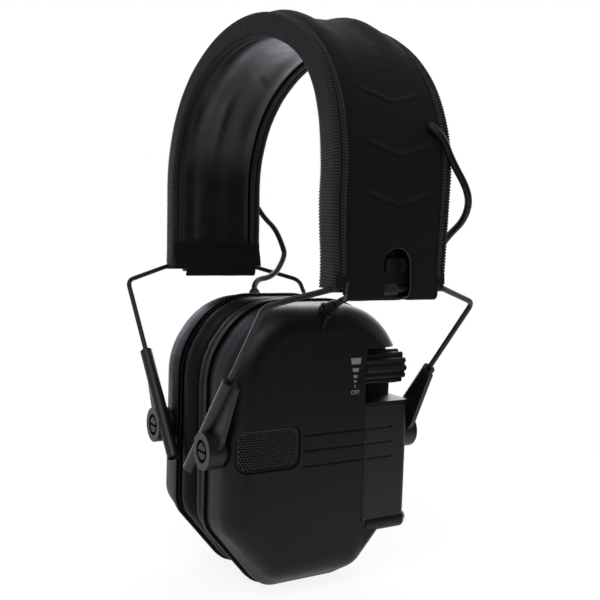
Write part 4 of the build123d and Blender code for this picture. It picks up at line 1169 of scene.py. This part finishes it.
def grille_point(sign, y, z, lift):
    """A point on the sunk surface of the window, from the window's middle, lifted off that surface."""
    y += GRILLE_Y
    return spot(sign * (dome_x(y, GRILLE_SINK) + lift), y, GRILLE_Z + z)


def make_grille_mesh(side, sign):
    """Fine sheet with hexagonal holes, bent with the cup's face."""
    verts, faces = [], []
    row_pitch = MESH_PITCH * sqrt(3) / 2
    rows = int((GRILLE_HEIGHT / 2 - 0.9) / row_pitch)
    columns = int(GRILLE_WIDTH / 2 / MESH_PITCH) + 1
    angles = [pi / 6 + pi / 3 * k for k in range(6)]
    for row in range(-rows, rows + 1):
        for column in range(-columns, columns + 1):
            y, z = (column + (row % 2) / 2) * MESH_PITCH, row * row_pitch
            if not in_grille(y, z, 0.75):
                continue
            base = len(verts)
            for size, lift in ((MESH_PITCH / sqrt(3), 0.0), (MESH_HOLE, 0.0), (MESH_HOLE, -MESH_DEPTH)):
                verts += [grille_point(sign, y + size * cos(a), z + size * sin(a), lift) for a in angles]
            open_hole = in_grille(y, z, 1.35)
            cell = grid_faces(3 if open_hole else 2, 6, True)
            if not open_hole:
                cell.append(tuple(range(6, 12)))
            faces += [tuple(base + k for k in face) for face in cell]
    mesh = mesh_from(f"{side}_grille_mesh", verts, faces, smooth=False)
    piece = new_piece(mesh, "grille", f"{side}_cup")
    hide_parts(f"{side}_mic_grille")


def make_grille_border(side, sign):
    """The rolled frame round the sheet, from its section (inset, lift)."""
    profile = [(0.0, -1.1), (0.0, 0.0), (0.12, 0.25), (0.35, 0.3), (0.7, 0.15), (1.15, -0.05), (1.5, -0.1),
               (1.5, -1.1)]
    verts = []
    for inset, lift in profile:
        w, h = GRILLE_WIDTH / 2 - inset, GRILLE_HEIGHT / 2 - inset
        corners = [(GRILLE_Y + a * w, GRILLE_Z + b * h) for a, b in ((-1, -1), (1, -1), (1, 1), (-1, 1))]
        loop = even_loop(rounded_loop(corners, [GRILLE_CORNER - inset] * 4, 0.5), BORDER_POINTS)
        verts += [grille_point(sign, p.x - GRILLE_Y, p.y - GRILLE_Z, lift) for p in loop]
    mesh = mesh_from(f"{side}_grille_border", verts, loop_faces(len(profile), BORDER_POINTS))
    new_piece(mesh, "stud", f"{side}_cup")


def make_grille_shade_sheet(side, sign):
    """A near-black sheet behind the holes, painted as the shade inside them, in strips so that it bends with
    the sheet.
    """
    columns = 40
    verts = []
    for depth in (0.75, 1.15):
        for y in spaced(0.3 - GRILLE_WIDTH / 2, GRILLE_WIDTH / 2 - 0.3, columns + 1):
            past = max(0.0, abs(y) - GRILLE_WIDTH / 2 + GRILLE_CORNER)
            half = GRILLE_HEIGHT / 2 - 0.3 - GRILLE_CORNER + sqrt(max(0.0, GRILLE_CORNER ** 2 - past * past))
            verts += [grille_point(sign, y, z, -depth) for z in (-half, half)]
    mesh = mesh_from(f"{side}_grille_shade_sheet", verts, slab_faces(columns + 1, 2), smooth=False)
    new_piece(mesh, "hole", f"{side}_cup")


def make_gland(side, sign):
    """Tapered, ribbed strain relief where the lead enters the cup, and the small tie round the lead."""
    start = Vector((sign * 29.3, 1.5, -103.8))
    axis = Vector((sign * 0.7505, 0.3502, 0.5604)).normalized()
    one = axis.orthogonal().normalized()
    other = axis.cross(one)
    # distance along the axis, and radius
    shape = [(-3.2, 3.0), (-0.6, 3.0), (-0.2, 2.75), (0.3, 2.35), (0.8, 2.3), (1.0, 2.75), (1.5, 2.8),
             (1.7, 2.2), (2.2, 2.1), (2.4, 2.55), (2.9, 2.6), (3.1, 1.95), (3.6, 1.85), (3.8, 2.25),
             (4.2, 2.25), (4.5, 1.75), (4.9, 1.6), (5.0, 1.36)]
    sides = 28
    verts = []
    for along, radius in shape:
        verts += [p * MM for p in circle(start + axis * along, one, other, radius, sides)]
    mesh = mesh_from(f"{side}_gland_boot", verts, tube_faces(len(shape), sides))
    piece = new_piece(mesh, "rubber", f"{side}_cup")
    smoothen(piece)
    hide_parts(f"{side}_gland")
    # the tie: a strap round the boot, and a short tail that is thicker where it leaves the strap
    at = start + axis * 0.1
    strap = [p * MM for p in circle(at, one, other, 3.05, 40)]
    mesh = tube_mesh(f"{side}_tie_strap", strap, 0.5 * MM, 8, closed=True)
    new_piece(mesh, "stud", f"{side}_cup")
    outward = Vector((sign, 0, 0))
    down = (outward - axis * axis.dot(outward)).normalized()
    tail = [at + down * 3.5]
    for far, y, z in ((1.2, -0.4, -0.3), (2.2, -1.2, -1.4), (2.6, -2.0, -2.9)):
        tail.append(tail[0] + down * far + Vector((0, y, z)))
    mesh = tube_mesh(f"{side}_tie_tail", spline_points(tail), 0.62 * MM, 10,
                     taper=lambda t: 1.15 if t < 0.25 else 0.85 - 0.2 * t)
    new_piece(mesh, "stud", f"{side}_cup")


def make_eyelet(side, sign):
    """Tapered rubber sleeve that brings the lead slantwise out of a slit in the band."""
    route = lead_points("lead_upper", sign)
    inward = (route[0] - route[1]).normalized()
    path = [route[0] + inward * (k * 0.6 * MM) for k in range(3, 0, -1)]
    shown = 5.0 * MM
    path += [point for i, point in enumerate(route) if lead_length(route[:i + 1]) <= shown]
    mesh = tube_mesh(f"{side}_eyelet_sleeve", path, 1.0 * MM, taper=lambda t: 1.75 - 0.35 * step(t, 0.3, 1.0))
    piece = new_piece(mesh, "rubber", "headband")
    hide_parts(f"{side}_eyelet")


for side_name, side_sign in SIDES.items():
    for make in (make_cushion, make_foam, make_grille_mesh, make_grille_border, make_grille_shade_sheet, make_gland,
                 make_eyelet):
        make(side_name, side_sign)


# ---------------------------------------------------------------- printed marks by the knob

# each wedge's top, height, width at its top and width at its foot, in mm
LEVEL_MARKS = [(-122.3, 2.5, 5.0, 4.3), (-126.3, 1.5, 3.1, 2.7), (-129.0, 1.2, 2.0, 1.7),
               (-131.1, 0.9, 1.3, 1.1), (-132.9, 1.3, 0.6, 0.4)]
MARK_X, MARK_Y, MARK_THICK = 32.99, 13.4, 0.03


def make_marks():
    for number, (top, tall, wide, narrow) in enumerate(LEVEL_MARKS):
        low = top - tall
        outline = [(-wide / 2, top), (wide / 2, top), (wide / 2 - 0.1, low), (wide / 2 - narrow, low)]
        verts = [spot(x, MARK_Y + y, z) for x in (MARK_X, MARK_X + MARK_THICK) for y, z in outline]
        mesh = mesh_from(f"level_mark_{number + 1}", verts, tube_faces(2, len(outline)), smooth=False)
        new_piece(mesh, "ink", "control_cup")
    curve = bpy.data.curves.new("off_mark", "FONT")
    curve.body = "OFF"
    curve.size = 2.35 * MM
    curve.extrude = 0.012 * MM
    curve.align_x = curve.align_y = "CENTER"
    curve.offset = 0.03 * MM
    mesh = mesh_of_curve("off_mark_text", curve)
    mesh.name = "off_mark"
    turn = Matrix(((0, 0, 1), (1, 0, 0), (0, 1, 0))).to_4x4()
    mesh.transform(Matrix.Translation(spot(33.01, 13.6, -135.9)) @ turn)
    new_piece(mesh, "ink", "control_cup")


make_marks()


# ---------------------------------------------------------------- carried-over CAD nodes

SIDE_NODES = {"shell": "shell", "back_plate": "rim", "bail": "wire", "slider_front": "slider",
              "slider_back": "slider", "stud_front": "stud", "stud_back": "stud", "screws": "screw",
              "speaker": "cone", "microphone": "micro", "hinge_plate": "hinge"}
SINGLE_NODES = {"band_spring": "steel", "volume_knob": "knob", "knob_shaft": "steel", "potentiometer": "bay",
                "battery_door": "door", "door_pin": "steel", "battery_bay": "bay", "cells": "wrap",
                "battery_contacts": "contact", "circuit_board": "board", "audio_jack": "jack"}
for side_name in SIDES:
    for part, finish in SIDE_NODES.items():
        dress(f"{side_name}_{part}", finish)
for part, finish in SINGLE_NODES.items():
    dress(part, finish)
